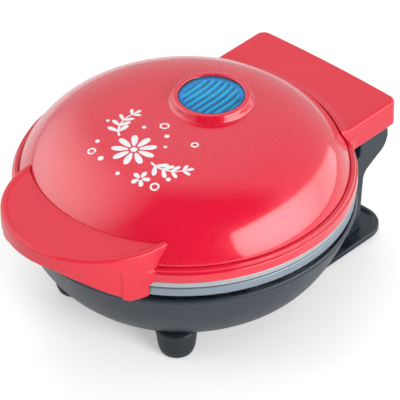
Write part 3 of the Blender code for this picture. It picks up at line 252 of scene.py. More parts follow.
# Camera, as solved from the photo
CAMERA_AZIMUTH = math.radians(44.006)
CAMERA_ELEVATION = math.radians(36.95)
CAMERA_ROLL = math.radians(-0.923)
CAMERA_DISTANCE = 1400.0
CAMERA_TARGET = Vector((2.387, 5.305, 35.0))
CAMERA_LENS = 340.77
SENSOR = 36.0


# Mesh helpers

def rounded(corners, closed=True, steps=FILLET_STEPS):
    """Outline through corners (x, y, fillet radius), with an arc in place of each corner."""
    count = len(corners)
    outline = []
    for index, corner in enumerate(corners):
        here = Vector(corner[:2])
        radius = corner[2] if len(corner) > 2 else 0
        if not radius or (not closed and index in (0, count - 1)):
            outline.append(tuple(here))
            continue
        before = (Vector(corners[index - 1][:2]) - here).normalized()
        after = (Vector(corners[(index + 1) % count][:2]) - here).normalized()
        half = before.angle(after) / 2
        reach = radius / math.tan(half)
        centre = here + (before + after).normalized() * (radius / math.sin(half))
        start = here + before * reach - centre
        end = here + after * reach - centre
        turn = start.angle_signed(end)
        for step in range(steps + 1):
            spoke = start.copy()
            spoke.rotate(Matrix.Rotation(-turn * step / steps, 2))
            outline.append(tuple(centre + spoke))
    return outline


def arc(centre, radius, start, end, steps):
    """Points of an arc between two angles in degrees."""
    turns = [math.radians(start + (end - start) * step / steps) for step in range(steps + 1)]
    return [(centre[0] + radius * math.cos(turn), centre[1] + radius * math.sin(turn))
            for turn in turns]


def turned(profile, centre=(0.0, 0.0), sides=ROUND):
    """Closed solid of revolution from a profile (radius, height); radius 0 closes an end."""
    points = []
    rings = []
    for radius, height in profile:
        if radius < 1e-6:
            rings.append([len(points)])
            points.append((centre[0], centre[1], height))
            continue
        rings.append(list(range(len(points), len(points) + sides)))
        for side in range(sides):
            turn = math.tau * side / sides
            points.append((centre[0] + radius * math.cos(turn),
                           centre[1] + radius * math.sin(turn), height))
    open_ends = len(rings[0]) == 1 and len(rings[-1]) == 1
    pairs = list(zip(rings, rings[1:]))
    if not open_ends:
        pairs.append((rings[-1], rings[0]))
    return np.array(points), bridge(pairs, sides)


def bridge(pairs, sides):
    """Faces between neighbouring rings; a ring of one point is a tip."""
    faces = []
    for lower, upper in pairs:
        if len(lower) == 1 and len(upper) == 1:
            continue
        for side in range(sides):
            after = (side + 1) % sides
            if len(lower) == 1:
                faces.append((lower[0], upper[after], upper[side]))
            elif len(upper) == 1:
                faces.append((lower[side], lower[after], upper[0]))
            else:
                faces.append((lower[side], lower[after], upper[after], upper[side]))
    return faces


def flipped(faces):
    """Faces turned inside out."""
    return [tuple(reversed(face)) for face in faces]


def lofted(rings):
    """Closed solid through rings of equally many points, each a list of places."""
    sides = len(rings[0])
    points = np.array([place for ring in rings for place in ring], float)
    numbers = [list(range(level * sides, (level + 1) * sides)) for level in range(len(rings))]
    faces = bridge(list(zip(numbers, numbers[1:])), sides)
    return points, faces + [tuple(reversed(numbers[0])), tuple(numbers[-1])]


def inset(outline, depth):
    """Anticlockwise outline moved inwards along its corner normals."""
    count = len(outline)
    moved = []
    for index, place in enumerate(outline):
        before = Vector(place) - Vector(outline[index - 1])
        after = Vector(outline[(index + 1) % count]) - Vector(place)
        before.normalize()
        after.normalize()
        along = (before + after).normalized()
        grow = 1 / max(along.dot(before), 0.5)
        moved.append((place[0] - along.y * depth * grow, place[1] + along.x * depth * grow))
    return moved


def slab(outline, low, high, edge, steps=3):
    """Plate with rounded edges: an outline (y, z) drawn out along X from low to high."""
    turns = [math.pi / 2 * step / steps for step in range(steps + 1)]
    levels = [(low + edge * (1 - math.cos(turn)), edge * (1 - math.sin(turn))) for turn in turns]
    levels += [(low + high - level, depth) for level, depth in reversed(levels)]
    return lofted([[(level, y, z) for y, z in inset(outline, depth)] for level, depth in levels])


def surface_nets(field, low, high, cell=CELL):
    """Closed mesh of the surface where field is zero; the field is negative inside."""
    spans = [np.arange(low[axis], high[axis] + cell, cell) for axis in range(3)]
    grid = np.meshgrid(*spans, indexing="ij")
    values = field(*grid)
    cells = tuple(size - 1 for size in values.shape)
    total = np.zeros((3,) + cells)
    count = np.zeros(cells)
    crossings = []
    for axis in range(3):
        near = np.take(values, range(values.shape[axis] - 1), axis)
        far = np.take(values, range(1, values.shape[axis]), axis)
        cross = (near < 0) != (far < 0)
        share = np.where(cross, near / np.where(cross, near - far, 1), 0)
        place = np.indices(cross.shape, float)
        place[axis] += share
        first, second = (axis + 1) % 3, (axis + 2) % 3
        for step_first in (0, 1):
            for step_second in (0, 1):
                window = [slice(None)] * 3
                window[first] = slice(step_first, step_first + cells[first])
                window[second] = slice(step_second, step_second + cells[second])
                window = tuple(window)
                total += place[(slice(None),) + window] * cross[window]
                count += cross[window]
        crossings.append((axis, first, second, cross, near < 0))
    active = count > 0
    numbers = np.full(cells, -1)
    numbers[active] = np.arange(active.sum())
    points = (total[:, active] / count[active]).T * cell + np.array(low)
    faces = []
    for axis, first, second, cross, inside in crossings:
        spots = np.argwhere(cross)
        outward = inside[cross]
        keep = np.ones(len(spots), bool)
        for side in (first, second):
            keep &= (spots[:, side] > 0) & (spots[:, side] < cells[side])
        spots, outward = spots[keep], outward[keep]
        corners = []
        for step_first, step_second in ((1, 1), (0, 1), (0, 0), (1, 0)):
            spot = spots.copy()
            spot[:, first] -= step_first
            spot[:, second] -= step_second
            corners.append(numbers[tuple(spot.T)])
        quads = np.stack(corners, 1)
        quads[~outward] = quads[~outward][:, ::-1]
        faces.append(quads)
    return settle(points, field), np.concatenate(faces).tolist()


def settle(points, field, rounds=4, reach=0.02):
    """Points moved onto the field's zero surface along its slope."""
    for _ in range(rounds):
        value = field(*points.T)
        slope = np.stack([
            (field(*(points + step).T) - field(*(points - step).T)) / (2 * reach)
            for step in np.eye(3) * reach], 1)
        length = np.maximum((slope ** 2).sum(1), 0.05)
        move = slope * np.clip(value / length, -CELL / 3, CELL / 3)[:, None]
        points = points - move
    return points


def join_low(first, second, blend):
    """Smooth union of two fields."""
    share = np.clip(0.5 + 0.5 * (second - first) / blend, 0, 1)
    return second + (first - second) * share - blend * share * (1 - share)


def join_high(first, second, blend):
    """Smooth intersection of two fields."""
    return -join_low(-first, -second, blend)


def round_high(first, second, radius):
    """Intersection of two fields, its edge rounded by a radius."""
    lead, other = first + radius, second + radius
    outside = np.hypot(np.maximum(lead, 0), np.maximum(other, 0))
    return outside + np.minimum(np.maximum(lead, other), 0) - radius


def ramp(value):
    """Smooth step from 0 to 1 while value goes from 0 to 1."""
    share = np.clip(value, 0, 1)
    return share * share * (3 - 2 * share)


def mesh_piece(name, shape, material, body, replaces=(), weighted=True):
    """Piece made of points and faces in millimetres, placed in the frame."""
    points, faces = shape
    mesh = bpy.data.meshes.new(name)
    placed = (np.asarray(points, float) + np.array((0, AXIS_Y, 0))) * MM
    mesh.from_pydata(placed.tolist(), [], faces)
    mesh.validate()
    mesh.shade_smooth()
    piece = bpy.data.objects.new(name, mesh)
    bpy.context.scene.collection.objects.link(piece)
    for each in (material if isinstance(material, (list, tuple)) else (material,)):
        mesh.materials.append(each)
    if weighted:
        normals = piece.modifiers.new("weighted", "WEIGHTED_NORMAL")
        normals.weight = 80
        normals.keep_sharp = True
    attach(piece, body)
    if replaces:
        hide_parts(*replaces)
    return piece


def merged(shapes):
    """Several shapes as one."""
    points = []
    faces = []
    base = 0
    for more_points, more_faces in shapes:
        points.append(np.asarray(more_points, float))
        faces += [tuple(number + base for number in face) for face in more_faces]
        base += len(more_points)
    return np.concatenate(points), faces


def carve(shape, cutter):
    """Shape with a cutter taken out of it."""
    objects = []
    for points, faces in (shape, cutter):
        mesh = bpy.data.meshes.new("carving")
        mesh.from_pydata(np.asarray(points, float).tolist(), [], faces)
        objects.append(bpy.data.objects.new("carving", mesh))
        bpy.context.scene.collection.objects.link(objects[-1])
    cut = objects[0].modifiers.new("cut", "BOOLEAN")
    cut.operation = "DIFFERENCE"
    cut.object = objects[1]
    bpy.context.view_layer.update()
    result = objects[0].evaluated_get(bpy.context.evaluated_depsgraph_get()).data
    points = np.array([point.co[:] for point in result.vertices])
    faces = [tuple(face.vertices) for face in result.polygons]
    for each in objects:
        bpy.data.objects.remove(each)
    return points, faces


# Shapes

def dome_height(radius, grow=0.0):
    """Height of the dome's surface at a distance from the machine's axis."""
    share = np.clip(np.abs(radius) / (DOME_RADIUS + grow), 0, 1)
    return DOME_EDGE + (DOME_RISE + grow) * (1 - share ** DOME_FLATNESS) ** DOME_SHOULDER


def dome_field(radius, height):
    """Rough distance from the dome's surface, positive outside."""
    share = np.maximum(radius, 1e-3) / DOME_RADIUS
    rise = np.maximum(height - DOME_EDGE, 1e-3) / DOME_RISE
    level = share ** DOME_FLATNESS + rise ** (1 / DOME_SHOULDER) - 1
    slope_out = DOME_FLATNESS * share ** (DOME_FLATNESS - 1) / DOME_RADIUS
    slope_up = rise ** (1 / DOME_SHOULDER - 1) / DOME_SHOULDER / DOME_RISE
    above = level / np.sqrt(slope_out ** 2 + slope_up ** 2 + 1e-9)
    return np.where(height > DOME_EDGE, above, radius - DOME_RADIUS)


def lid_field(x, y, z):
    """Distance outside the dome and the ring, with the ring's wall left to grow into."""
    radius = np.hypot(x, y)
    dome = dome_field(radius, z) - DOME_SEAM
    ring = np.where(z > RING_LOW - SKIN_PLAY, radius - RIM_RADIUS + RING_SHOULDER,
                    radius - RIM_RADIUS - SKIN_PLAY)
    low = np.maximum(ring, z - RING_HIGH)
    return np.minimum(dome, low)


def ring_core(x, y, z):
    """Heart of the lid ring, just under its skin."""
    radius = np.hypot(x, y)
    return np.maximum(np.abs(radius - RIM_RADIUS + CORE_INSET) - CORE_HALF_WIDTH,
                      np.abs(z - RING_LOW - CORE_RISE) - CORE_HALF_HEIGHT)


def arch_height(x):
    """Lower edge of the handle's skirt."""
    share = np.clip(np.abs(x) / ARCH_HALF, 0, 1)
    return HANDLE_LOW + ARCH_RISE * (1 - share ** ARCH_POWER)


def handle_field(x, y, z):
    """Half-round handle with its bead, grip panel and arched skirt."""
    spread = np.hypot(x, y - HANDLE_Y)
    grip = ramp((GRIP_LINE - z) / GRIP_STEP + 0.5) * ramp((GRIP_HALF - np.abs(x)) / GRIP_END + 0.5)
    grip = GRIP_SINK * grip
    top = HANDLE_TOP - HANDLE_SINK * ramp((HANDLE_RADIUS - HANDLE_BEAD - spread) / BEAD_SLOPE + 0.5)
    outer = round_high(spread - HANDLE_RADIUS + grip, z - top, HANDLE_EDGE)
    hollow = join_high(spread - HANDLE_RADIUS + HANDLE_WALL, z - HANDLE_TOP + HANDLE_WALL, SOFT_HOLLOW)
    shell = join_high(outer, -hollow, SOFT_EDGE)
    shell = join_high(shell, (arch_height(x) - z) * 0.8, 1.0)
    shell = join_high(shell, -lid_field(x, y, z), SOFT_SEAM)
    joined = join_low(shell, ring_core(x, y, z), ROOT_FILLET)
    clear = np.minimum(dome_field(np.hypot(x, y), z) - DOME_SEAM, 50)
    joined = np.maximum(joined, np.where(z > RING_HIGH - TOP_CLEAR, -clear, -60))
    plates = np.hypot(x, y) - RIM_RADIUS - SKIN_PLAY
    joined = np.maximum(joined, np.where(z < RING_LOW, -plates, -60))
    return np.maximum(joined, y - HANDLE_Y - HANDLE_BACK)


def block_field(x, y, z):
    """Hinge block with its ears, open underneath."""
    crown = BLOCK_CROWN * (x / BLOCK_HALF) ** 2
    middle = (BLOCK_FRONT + BLOCK_REAR) / 2
    depth = (BLOCK_REAR - BLOCK_FRONT) / 2

    def plan(shrink):
        corner = BLOCK_CORNER - shrink
        side = np.abs(x) - BLOCK_HALF + BLOCK_CORNER
        end = np.abs(y + crown - middle) - depth + BLOCK_CORNER
        outside = np.hypot(np.maximum(side, 0), np.maximum(end, 0))
        return outside + np.minimum(np.maximum(side, end), 0) - corner

    outer = round_high(plan(0), z - BLOCK_TOP, BLOCK_EDGE)
    hollow = np.maximum(plan(BLOCK_WALL), z - BLOCK_TOP + BLOCK_WALL)
    shell = join_high(outer, -hollow, SOFT_EDGE)
    shell = join_high(shell, BLOCK_LOW - z, SOFT_EDGE)
    ear = np.hypot(y - PIVOT.y, np.minimum(z - PIVOT.z, 0)) - EAR_RADIUS
    ear = np.maximum(ear, z - BLOCK_TOP + 1)
    ear = join_high(ear, np.abs(np.abs(x) - EAR_MIDDLE) - EAR_HALF, SOFT_EDGE)
    shell = join_low(shell, ear, 1.0)
    shell = np.maximum(shell, PIN_RADIUS - np.hypot(y - PIVOT.y, z - PIVOT.z))
    radius = np.hypot(x, y)
    dome = dome_field(radius, z)
    skin = join_high(dome - SKIN_WALL, z - BLOCK_TOP - SKIN_RISE, SOFT_EDGE)
    skin = np.maximum(skin, SKIN_LOW - z)
    skin = join_high(skin, np.abs(x) - BLOCK_HALF + SKIN_END, 1.5)
    shell = join_low(shell, skin, 2.2)
    shell = join_high(shell, -lid_field(x, y, z), 0.7)
    joined = join_low(shell, ring_core(x, y, z), ROOT_FILLET)
    joined = np.maximum(joined, np.where(z > RING_HIGH - TOP_CLEAR, DOME_SEAM - dome, -60))
    joined = np.maximum(joined, np.where(z < RING_LOW, RIM_RADIUS + SKIN_PLAY - radius, -60))
    return np.maximum(joined, BLOCK_FRONT + 2 - y)


def dome_shape():
    """Dome with its boss, turned around the lens in rays that end on the dome's edge."""
    turns = np.linspace(0, math.tau, ROUND, endpoint=False)
    ray = np.stack([np.cos(turns), np.sin(turns)])
    centre = np.array((0.0, LENS_Y))

    def ring_at(spread, height):
        place = centre[:, None] + ray * spread
        return [(px, py, pz) for (px, py), pz in zip(place.T, height)]

    def to_circle(radius):
        along = centre @ ray
        return -along + np.sqrt(along ** 2 - centre @ centre + radius ** 2)

    def skin_height(spread):
        place = centre[:, None] + ray * spread
        dome = dome_height(np.hypot(place[0], place[1]))
        wall = BOSS_TOP - (spread - BOSS_RADIUS) * BOSS_SLOPE
        boss = join_low(wall, np.full_like(wall, BOSS_TOP), BOSS_SOFT)
        return join_high(dome, boss, BOSS_FILLET)

    flat = np.ones(ROUND)
    edge = to_circle(DOME_RADIUS)
    rings = []
    for step in range(5):
        turn = math.pi / 2 * step / 4
        spread = BORE_RADIUS + BORE_EDGE * (1 - math.cos(turn))
        drop = BORE_EDGE * (1 - math.sin(turn))
        rings.append(ring_at(flat * spread, skin_height(flat * spread) - drop))
    for spread in np.linspace(BORE_RADIUS + BORE_EDGE + 0.3, RAY_SPLIT, 34):
        rings.append(ring_at(flat * spread, skin_height(flat * spread)))
    for share in np.linspace(0, 1, 52)[1:]:
        spread = RAY_SPLIT + (edge - RAY_SPLIT) * (1 - (1 - share) ** 1.8)
        rings.append(ring_at(spread, skin_height(spread)))
    for radius, height in ((DOME_RADIUS, DOME_EDGE - SEAM_DEPTH), (SPIGOT_OUTER, DOME_EDGE - 0.45),
                           (SPIGOT_OUTER, SPIGOT_LOW), (SPIGOT_INNER, SPIGOT_LOW),
                           (SPIGOT_INNER, DOME_EDGE + 1)):
        rings.append(ring_at(to_circle(radius), flat * height))
    for share in np.linspace(0, 1, 24):
        spread = to_circle(SPIGOT_INNER) * (1 - share) + COLLAR_OUTER * share
        place = centre[:, None] + ray * spread
        height = dome_height(np.hypot(place[0], place[1]) * DOME_RADIUS / (SPIGOT_INNER + 0.8))
        rings.append(ring_at(spread, height - DOME_WALL))
    for spread, height in ((COLLAR_OUTER, COLLAR_LOW), (COLLAR_INNER, COLLAR_LOW),
                           (COLLAR_INNER, COLLAR_SEAT), (BORE_RADIUS, COLLAR_SEAT)):
        rings.append(ring_at(flat * spread, flat * height))
    points = np.array([place for ring in rings for place in ring], float)
    numbers = [list(range(level * ROUND, (level + 1) * ROUND)) for level in range(len(rings))]
    return points, flipped(bridge(list(zip(numbers, numbers[1:] + numbers[:1])), ROUND))


def ring_profile():
    """Cross-section of the lid ring."""
    outer = RIM_RADIUS
    return rounded([
        (FRAME_INNER, RING_LOW, 0.3), (outer, RING_LOW, 0.4), (outer, RING_LOW + 3.6, 0.7),
        (outer - 1.0, RING_LOW + 4.1, 0.3), (outer - 0.75, RING_LOW + 4.55, 0.4),
        (outer - 1.0, RING_HIGH, 0.5), (DOME_RADIUS + DOME_SEAM, RING_HIGH, 0.25),
        (DOME_RADIUS + DOME_SEAM, RING_HIGH - 0.7), (SPIGOT_OUTER + 0.3, RING_HIGH - 0.7),
        (SPIGOT_OUTER + 0.3, FRAME_SHELF), (FRAME_INNER, FRAME_SHELF, 0.3)], steps=4)


def bowl_side(grow, steps):
    """Bowl's side from its rim down to its flat bottom."""
    rim = Vector((RIM_RADIUS, BOWL_RIM))
    flat = Vector((BOWL_FLAT, BOWL_LOW))
    reach, fall = rim - flat
    rim_pull = rim - Vector((reach * 0.21, fall * 0.54))
    flat_pull = flat + Vector((reach * 0.56, 0))
    side = []
    for step in range(steps + 1):
        t = step / steps
        spot = (rim * (1 - t) ** 3 + rim_pull * 3 * t * (1 - t) ** 2
                + flat_pull * 3 * t * t * (1 - t) + flat * t ** 3)
        slope = ((rim_pull - rim) * (1 - t) ** 2 + (flat_pull - rim_pull) * 2 * t * (1 - t)
                 + (flat - flat_pull) * t * t).normalized()
        side.append((spot.x - slope.y * grow, spot.y + slope.x * grow))
    return side


def bowl_solid(grow):
    """The bowl as one filled form, used as a cutter."""
    outline = [(0, BOWL_LOW - grow)] + list(reversed(bowl_side(grow, 24)))
    outline += [(RIM_RADIUS + grow, LIP_TOP + 4), (0, LIP_TOP + 4)]
    return turned(outline)


def bowl_shape():
    """Base bowl with its lip, ledge, screw wells and cord outlet."""
    inner = [place for place in reversed(bowl_side(-BOWL_WALL, 20)) if place[1] < LEDGE_LOW - 0.4]
    lip_inner = RIM_RADIUS - LIP_INSET - 0.8
    lip = rounded([
        inner[-1], (inner[-1][0] + 0.3, LEDGE_LOW, 0.3), (LEDGE_INNER, LEDGE_LOW, 0.2),
        (LEDGE_INNER, LEDGE_TOP, 0.2), (lip_inner, LEDGE_TOP, 0.2), (lip_inner, LIP_TOP, 0.2),
        (RIM_RADIUS - LIP_INSET, LIP_TOP, 0.2), (RIM_RADIUS - 0.2, LIP_TOP - 0.5, 0.3),
        (RIM_RADIUS, BOWL_RIM - 0.5, 0.4), (RIM_RADIUS - 0.4, BOWL_RIM - 0.9)],
        closed=False, steps=3)
    side = [place for place in bowl_side(0, 40) if place[1] < BOWL_RIM - 1.4]
    profile = [(0, BOWL_LOW + BOWL_WALL)] + inner + lip[1:] + side + [(0, BOWL_LOW)]
    shell = turned(profile)
    bevel = 0.4
    boss = [(0, -OUTLET_ROOT), (OUTLET_BOSS, -OUTLET_ROOT), (OUTLET_BOSS, OUTLET_PROUD - bevel),
            (OUTLET_BOSS - bevel, OUTLET_PROUD), (0, OUTLET_PROUD)]
    boss = across_y([(radius, level + OUTLET_FACE - OUTLET_PROUD) for radius, level in boss])
    wells = []
    for number in range(3):
        turn = math.radians(30 + 120 * number)
        spot = (SCREW_RING * math.cos(turn), SCREW_RING * math.sin(turn))
        wells.append(turned([(0, -2), (SCREW_HEAD, -2), (SCREW_HEAD, COLUMN_SEAT), (0, COLUMN_SEAT)],
                            spot, 40))
    bore = [(0, OUTLET_FACE - 20), (OUTLET_RADIUS, OUTLET_FACE - 20),
            (OUTLET_RADIUS, OUTLET_FACE + 5), (0, OUTLET_FACE + 5)]
    bore = across_y(bore)
    return carve(shell, merged(wells + [bore])), carve(boss, bore)


def across_y(profile):
    """Solid of revolution laid so that its axis runs along Y at the cord outlet's height."""
    points, faces = turned(profile, sides=SMALL_ROUND)
    return np.stack([points[:, 0], points[:, 2], OUTLET_Z - points[:, 1]], 1), faces


def plate_shape(face, way, rim):
    """Cooking plate, pocket towards face; way is +1 when the pocket opens upwards."""
    depths = rounded([
        (0, PLATE_DEPTH), (PLATE_WALL, PLATE_DEPTH, 1.0), (PLATE_WALL, rim, 0.5), (PLATE_RADIUS, rim, 0.5),
        (PLATE_RADIUS, 0, 0.45), (POCKET_RADIUS, 0, 0.8),
        (POCKET_RADIUS - POCKET_DRAFT, POCKET_DEPTH, 1.5), (0, POCKET_DEPTH)], closed=False)
    plate = turned([(radius, face - way * depth) for radius, depth in depths])
    if way > 0:
        plate = (plate[0], flipped(plate[1]))
    return plate


def peg_shapes(face, way):
    """Grid of tapered square pegs on a plate's pocket floor."""
    pegs = []
    floor = face - way * (POCKET_DEPTH + 0.1)
    top = face - way * PEG_DEPTH
    reach = PEG_COUNT // 2
    for column in range(-reach, reach + 1):
        for row in range(-reach, reach + 1):
            x, y = column * PEG_PITCH, row * PEG_PITCH
            if math.hypot(abs(x) + 4, abs(y) + 4) > PEG_REACH:
                continue
            rings = []
            for half, level in ((4.6, floor), (4.2, floor + way * 0.5), (3.3, top - way * 0.6),
                                (3.1, top - way * 0.15), (2.7, top)):
                outline = rounded([(x + half * side, y + half * end, PEG_CORNER)
                                   for side, end in ((-1, -1), (1, -1), (1, 1), (-1, 1))], steps=4)
                rings.append([(px, py, level) for px, py in outline])
            points, faces = lofted(rings)
            if way < 0:
                faces = flipped(faces)
            pegs.append((points, faces))
    return pegs


def stand_outline(depth):
    """Plan of the stand's plate, moved inwards."""
    half = STAND_HALF - depth
    rear = STAND_REAR - depth
    corner = STAND_CORNER - depth
    right = arc((half - corner, rear - corner), corner, 0, 90, 14)
    left = [(-x, y) for x, y in reversed(right)]
    return [(half, STAND_FRONT + depth)] + right + left + [(-half, STAND_FRONT + depth)]


def stand_plate():
    """Stand plate with a rounded rim around its shallow tray."""
    levels = [(0.8, STAND_LOW), (0.3, STAND_LOW + 0.1), (0, STAND_LOW + 0.5), (0, STAND_TOP - 0.6),
              (0.2, STAND_TOP - 0.17), (0.6, STAND_TOP), (STAND_RIM - 0.6, STAND_TOP),
              (STAND_RIM - 0.2, STAND_TOP - 0.17), (STAND_RIM, STAND_TOP - 0.5),
              (STAND_RIM + 0.1, STAND_FLOOR + 0.15), (STAND_RIM + 0.4, STAND_FLOOR)]
    return lofted([[(x, y, level) for x, y in stand_outline(depth)] for depth, level in levels])


def arm_outline():
    """Side view of an arm: hinge lobe, leg that leans to the plate, web to the bowl."""
    low = PIVOT.z - LOBE_RADIUS
    leg_top = low - 5.6
    foot = STAND_FLOOR - 0.3
    web_low = PIVOT.z - 15.5
    web_top = PIVOT.z - 3.5
    lean = (LEG_REAR_TOP - LEG_REAR_FOOT) / (leg_top - foot)
    front_high = LEG_REAR_FOOT - LEG_WIDTH + lean * (web_low - 5.4 - foot)
    corners = [(LEG_REAR_FOOT + 1.6, foot), (LEG_REAR_FOOT + 1.6, foot + 0.3),
               (LEG_REAR_FOOT + 0.15, foot + 1.6, 1.6), (LEG_REAR_TOP, leg_top + 1.6, 5.0)]
    lobe = arc((PIVOT.y, PIVOT.z), LOBE_RADIUS, -72, 186, 30)
    rest = [(PIVOT.y - LOBE_RADIUS - 0.6, web_top, 0.8), (ARM_WEB_FRONT, web_top), (ARM_WEB_FRONT, web_low),
            (front_high, web_low - 5.4, 3.5), (LEG_REAR_FOOT - LEG_WIDTH - 0.1, foot + 1.6, 1.6),
            (LEG_REAR_FOOT - LEG_WIDTH - 1.6, foot + 0.3), (LEG_REAR_FOOT - LEG_WIDTH - 1.6, foot)]
    return rounded(corners + [place + (0,) for place in lobe] + rest, steps=6)


def foot_profile():
    """Front foot with its lipped top."""
    return rounded([
        (0, 1.5), (4.9, 1.5, 0.2), (4.9, 0.5, 0.3), (5.9, 0.5, 1.1), (6.9, 3.2, 6), (7.75, 10.4, 0.3),
        (8.2, 11.0, 0.4), (8.2, 12.4), (0, 12.4)], closed=False)


# Materials

def new_material(name):
    """Material with its nodes, its Principled shader and its object coordinates."""
    material = bpy.data.materials.new(name)
    material.use_nodes = True
    tree = material.node_tree
    shader = tree.nodes["Principled BSDF"]
    place = tree.nodes.new("ShaderNodeTexCoord").outputs["Object"]
    return material, tree, shader, place


def noise(tree, place, size, detail=2.0, rough=0.5):
    """Noise whose grains are about size metres across."""
    node = tree.nodes.new("ShaderNodeTexNoise")
    tree.links.new(place, node.inputs["Vector"])
    node.inputs["Scale"].default_value = 1 / size
    node.inputs["Detail"].default_value = detail
    node.inputs["Roughness"].default_value = rough
    return node.outputs["Fac"]


def remap(tree, value, low, high, start=0.3, end=0.7):
    """Value stretched from start..end to low..high."""
    node = tree.nodes.new("ShaderNodeMapRange")
    tree.links.new(value, node.inputs["Value"])
    node.inputs["From Min"].default_value = start
    node.inputs["From Max"].default_value = end
    node.inputs["To Min"].default_value = low
    node.inputs["To Max"].default_value = high
    return node.outputs["Result"]


def mixed(tree, share, first, second):
    """Colour between two colours."""
    node = tree.nodes.new("ShaderNodeMix")
    node.data_type = "RGBA"
    node.inputs["A"].default_value = first + (1,)
    node.inputs["B"].default_value = second + (1,)
    tree.links.new(share, node.inputs["Factor"])
    return node.outputs["Result"]


def add_bump(tree, shader, height, strength, depth, socket="Normal"):
    """Bump on a shader's normal, depth in metres."""
    node = tree.nodes.new("ShaderNodeBump")
    node.inputs["Strength"].default_value = strength
    node.inputs["Distance"].default_value = depth
    tree.links.new(height, node.inputs["Height"])
    tree.links.new(node.outputs["Normal"], shader.inputs[socket])


def set_values(shader, **values):
    """Constants of a shader's sockets, named with underscores for spaces."""
    for name, value in values.items():
        shader.inputs[name.replace("_", " ")].default_value = value


def colour_by(tree, shader, value, low, high):
    """Base colour that goes from low to high with a noise value."""
    tree.links.new(mixed(tree, remap(tree, value, 0, 1), low, high), shader.inputs["Base Color"])


def rough_by(tree, shader, value, low, high, start=0.3, end=0.7):
    """Roughness that goes from low to high with a value."""
    tree.links.new(remap(tree, value, low, high, start, end), shader.inputs["Roughness"])


def worn_plastic(name, low, high, rough, grain, depth, coat=0.0, coat_rough=0.1):
    """Moulded plastic: slight colour drift, uneven gloss, fine skin."""
    material, tree, shader, place = new_material(name)
    colour_by(tree, shader, noise(tree, place, 0.03, 3), low, high)
    rough_by(tree, shader, noise(tree, place, 0.008, 4, 0.6), rough - 0.04, rough + 0.05)
    add_bump(tree, shader, noise(tree, place, grain, 3, 0.6), 0.5, depth)
    set_values(shader, Coat_Weight=coat, Coat_Roughness=coat_rough)
    return material


def pearl_red():
    """Glossy pearl lacquer with fine fleck under a clear coat."""
    material, tree, shader, place = new_material("pearl_red")
    fleck = tree.nodes.new("ShaderNodeTexVoronoi")
    fleck.inputs["Scale"].default_value = 1 / 0.00045
    tree.links.new(place, fleck.inputs["Vector"])
    spark = tree.nodes.new("ShaderNodeSeparateColor")
    tree.links.new(fleck.outputs["Color"], spark.inputs["Color"])
    base = mixed(tree, remap(tree, spark.outputs["Red"], 0, 1, 0.0, 1.0),
                 (0.69, 0.002, 0.028), (0.76, 0.004, 0.036))
    tree.links.new(base, shader.inputs["Base Color"])
    rough_by(tree, shader, spark.outputs["Green"], 0.22, 0.36, 0.0, 1.0)
    add_bump(tree, shader, spark.outputs["Blue"], 0.3, 0.00002)
    set_values(shader, Specular_IOR_Level=0.4, Coat_Weight=1.0, Coat_IOR=1.65, Coat_Roughness=0.04)
    add_bump(tree, shader, noise(tree, place, 0.004, 2), 0.3, 0.000006, "Coat Normal")
    return material


def plate_metal(name, low, high, rough):
    """Coated cast plate: fine grain."""
    material, tree, shader, place = new_material(name)
    grain = noise(tree, place, 0.0007, 4, 0.65)
    colour_by(tree, shader, grain, low, high)
    rough_by(tree, shader, noise(tree, place, 0.01, 3), rough - 0.05, rough + 0.07)
    set_values(shader, Metallic=0.55)
    add_bump(tree, shader, grain, 0.4, 0.00002)
    return material


def metal(name, colour, rough):
    """Plain metal with a fine grain."""
    material, tree, shader, place = new_material(name)
    shade = tuple(part * 0.8 for part in colour)
    colour_by(tree, shader, noise(tree, place, 0.004, 4), shade, colour)
    rough_by(tree, shader, noise(tree, place, 0.0012, 5), rough - 0.08, rough + 0.1)
    set_values(shader, Metallic=1.0)
    add_bump(tree, shader, noise(tree, place, 0.0006, 4), 0.3, 0.00001)
    return material


def woven_sleeve():
    """Woven glass sleeve."""
    material, tree, shader, place = new_material("woven_sleeve")
    weave = tree.nodes.new("ShaderNodeTexWave")
    weave.inputs["Scale"].default_value = 1 / 0.0016
    weave.inputs["Distortion"].default_value = 1.5
    tree.links.new(place, weave.inputs["Vector"])
    tree.links.new(mixed(tree, weave.outputs["Fac"], (0.5, 0.48, 0.42), (0.8, 0.78, 0.7)),
                   shader.inputs["Base Color"])
    set_values(shader, Roughness=0.8)
    add_bump(tree, shader, weave.outputs["Fac"], 0.6, 0.0001)
    return material


def tinted_lens():
    """Clear blue plastic of the lens."""
    material, tree, shader, place = new_material("tinted_lens")
    colour_by(tree, shader, noise(tree, place, 0.01, 2), (0.06, 0.66, 0.90), (0.10, 0.72, 0.93))
    set_values(shader, Transmission_Weight=1.0, Roughness=0.02, IOR=1.45)
    add_bump(tree, shader, noise(tree, place, 0.003, 2), 0.2, 0.00002)
    return material


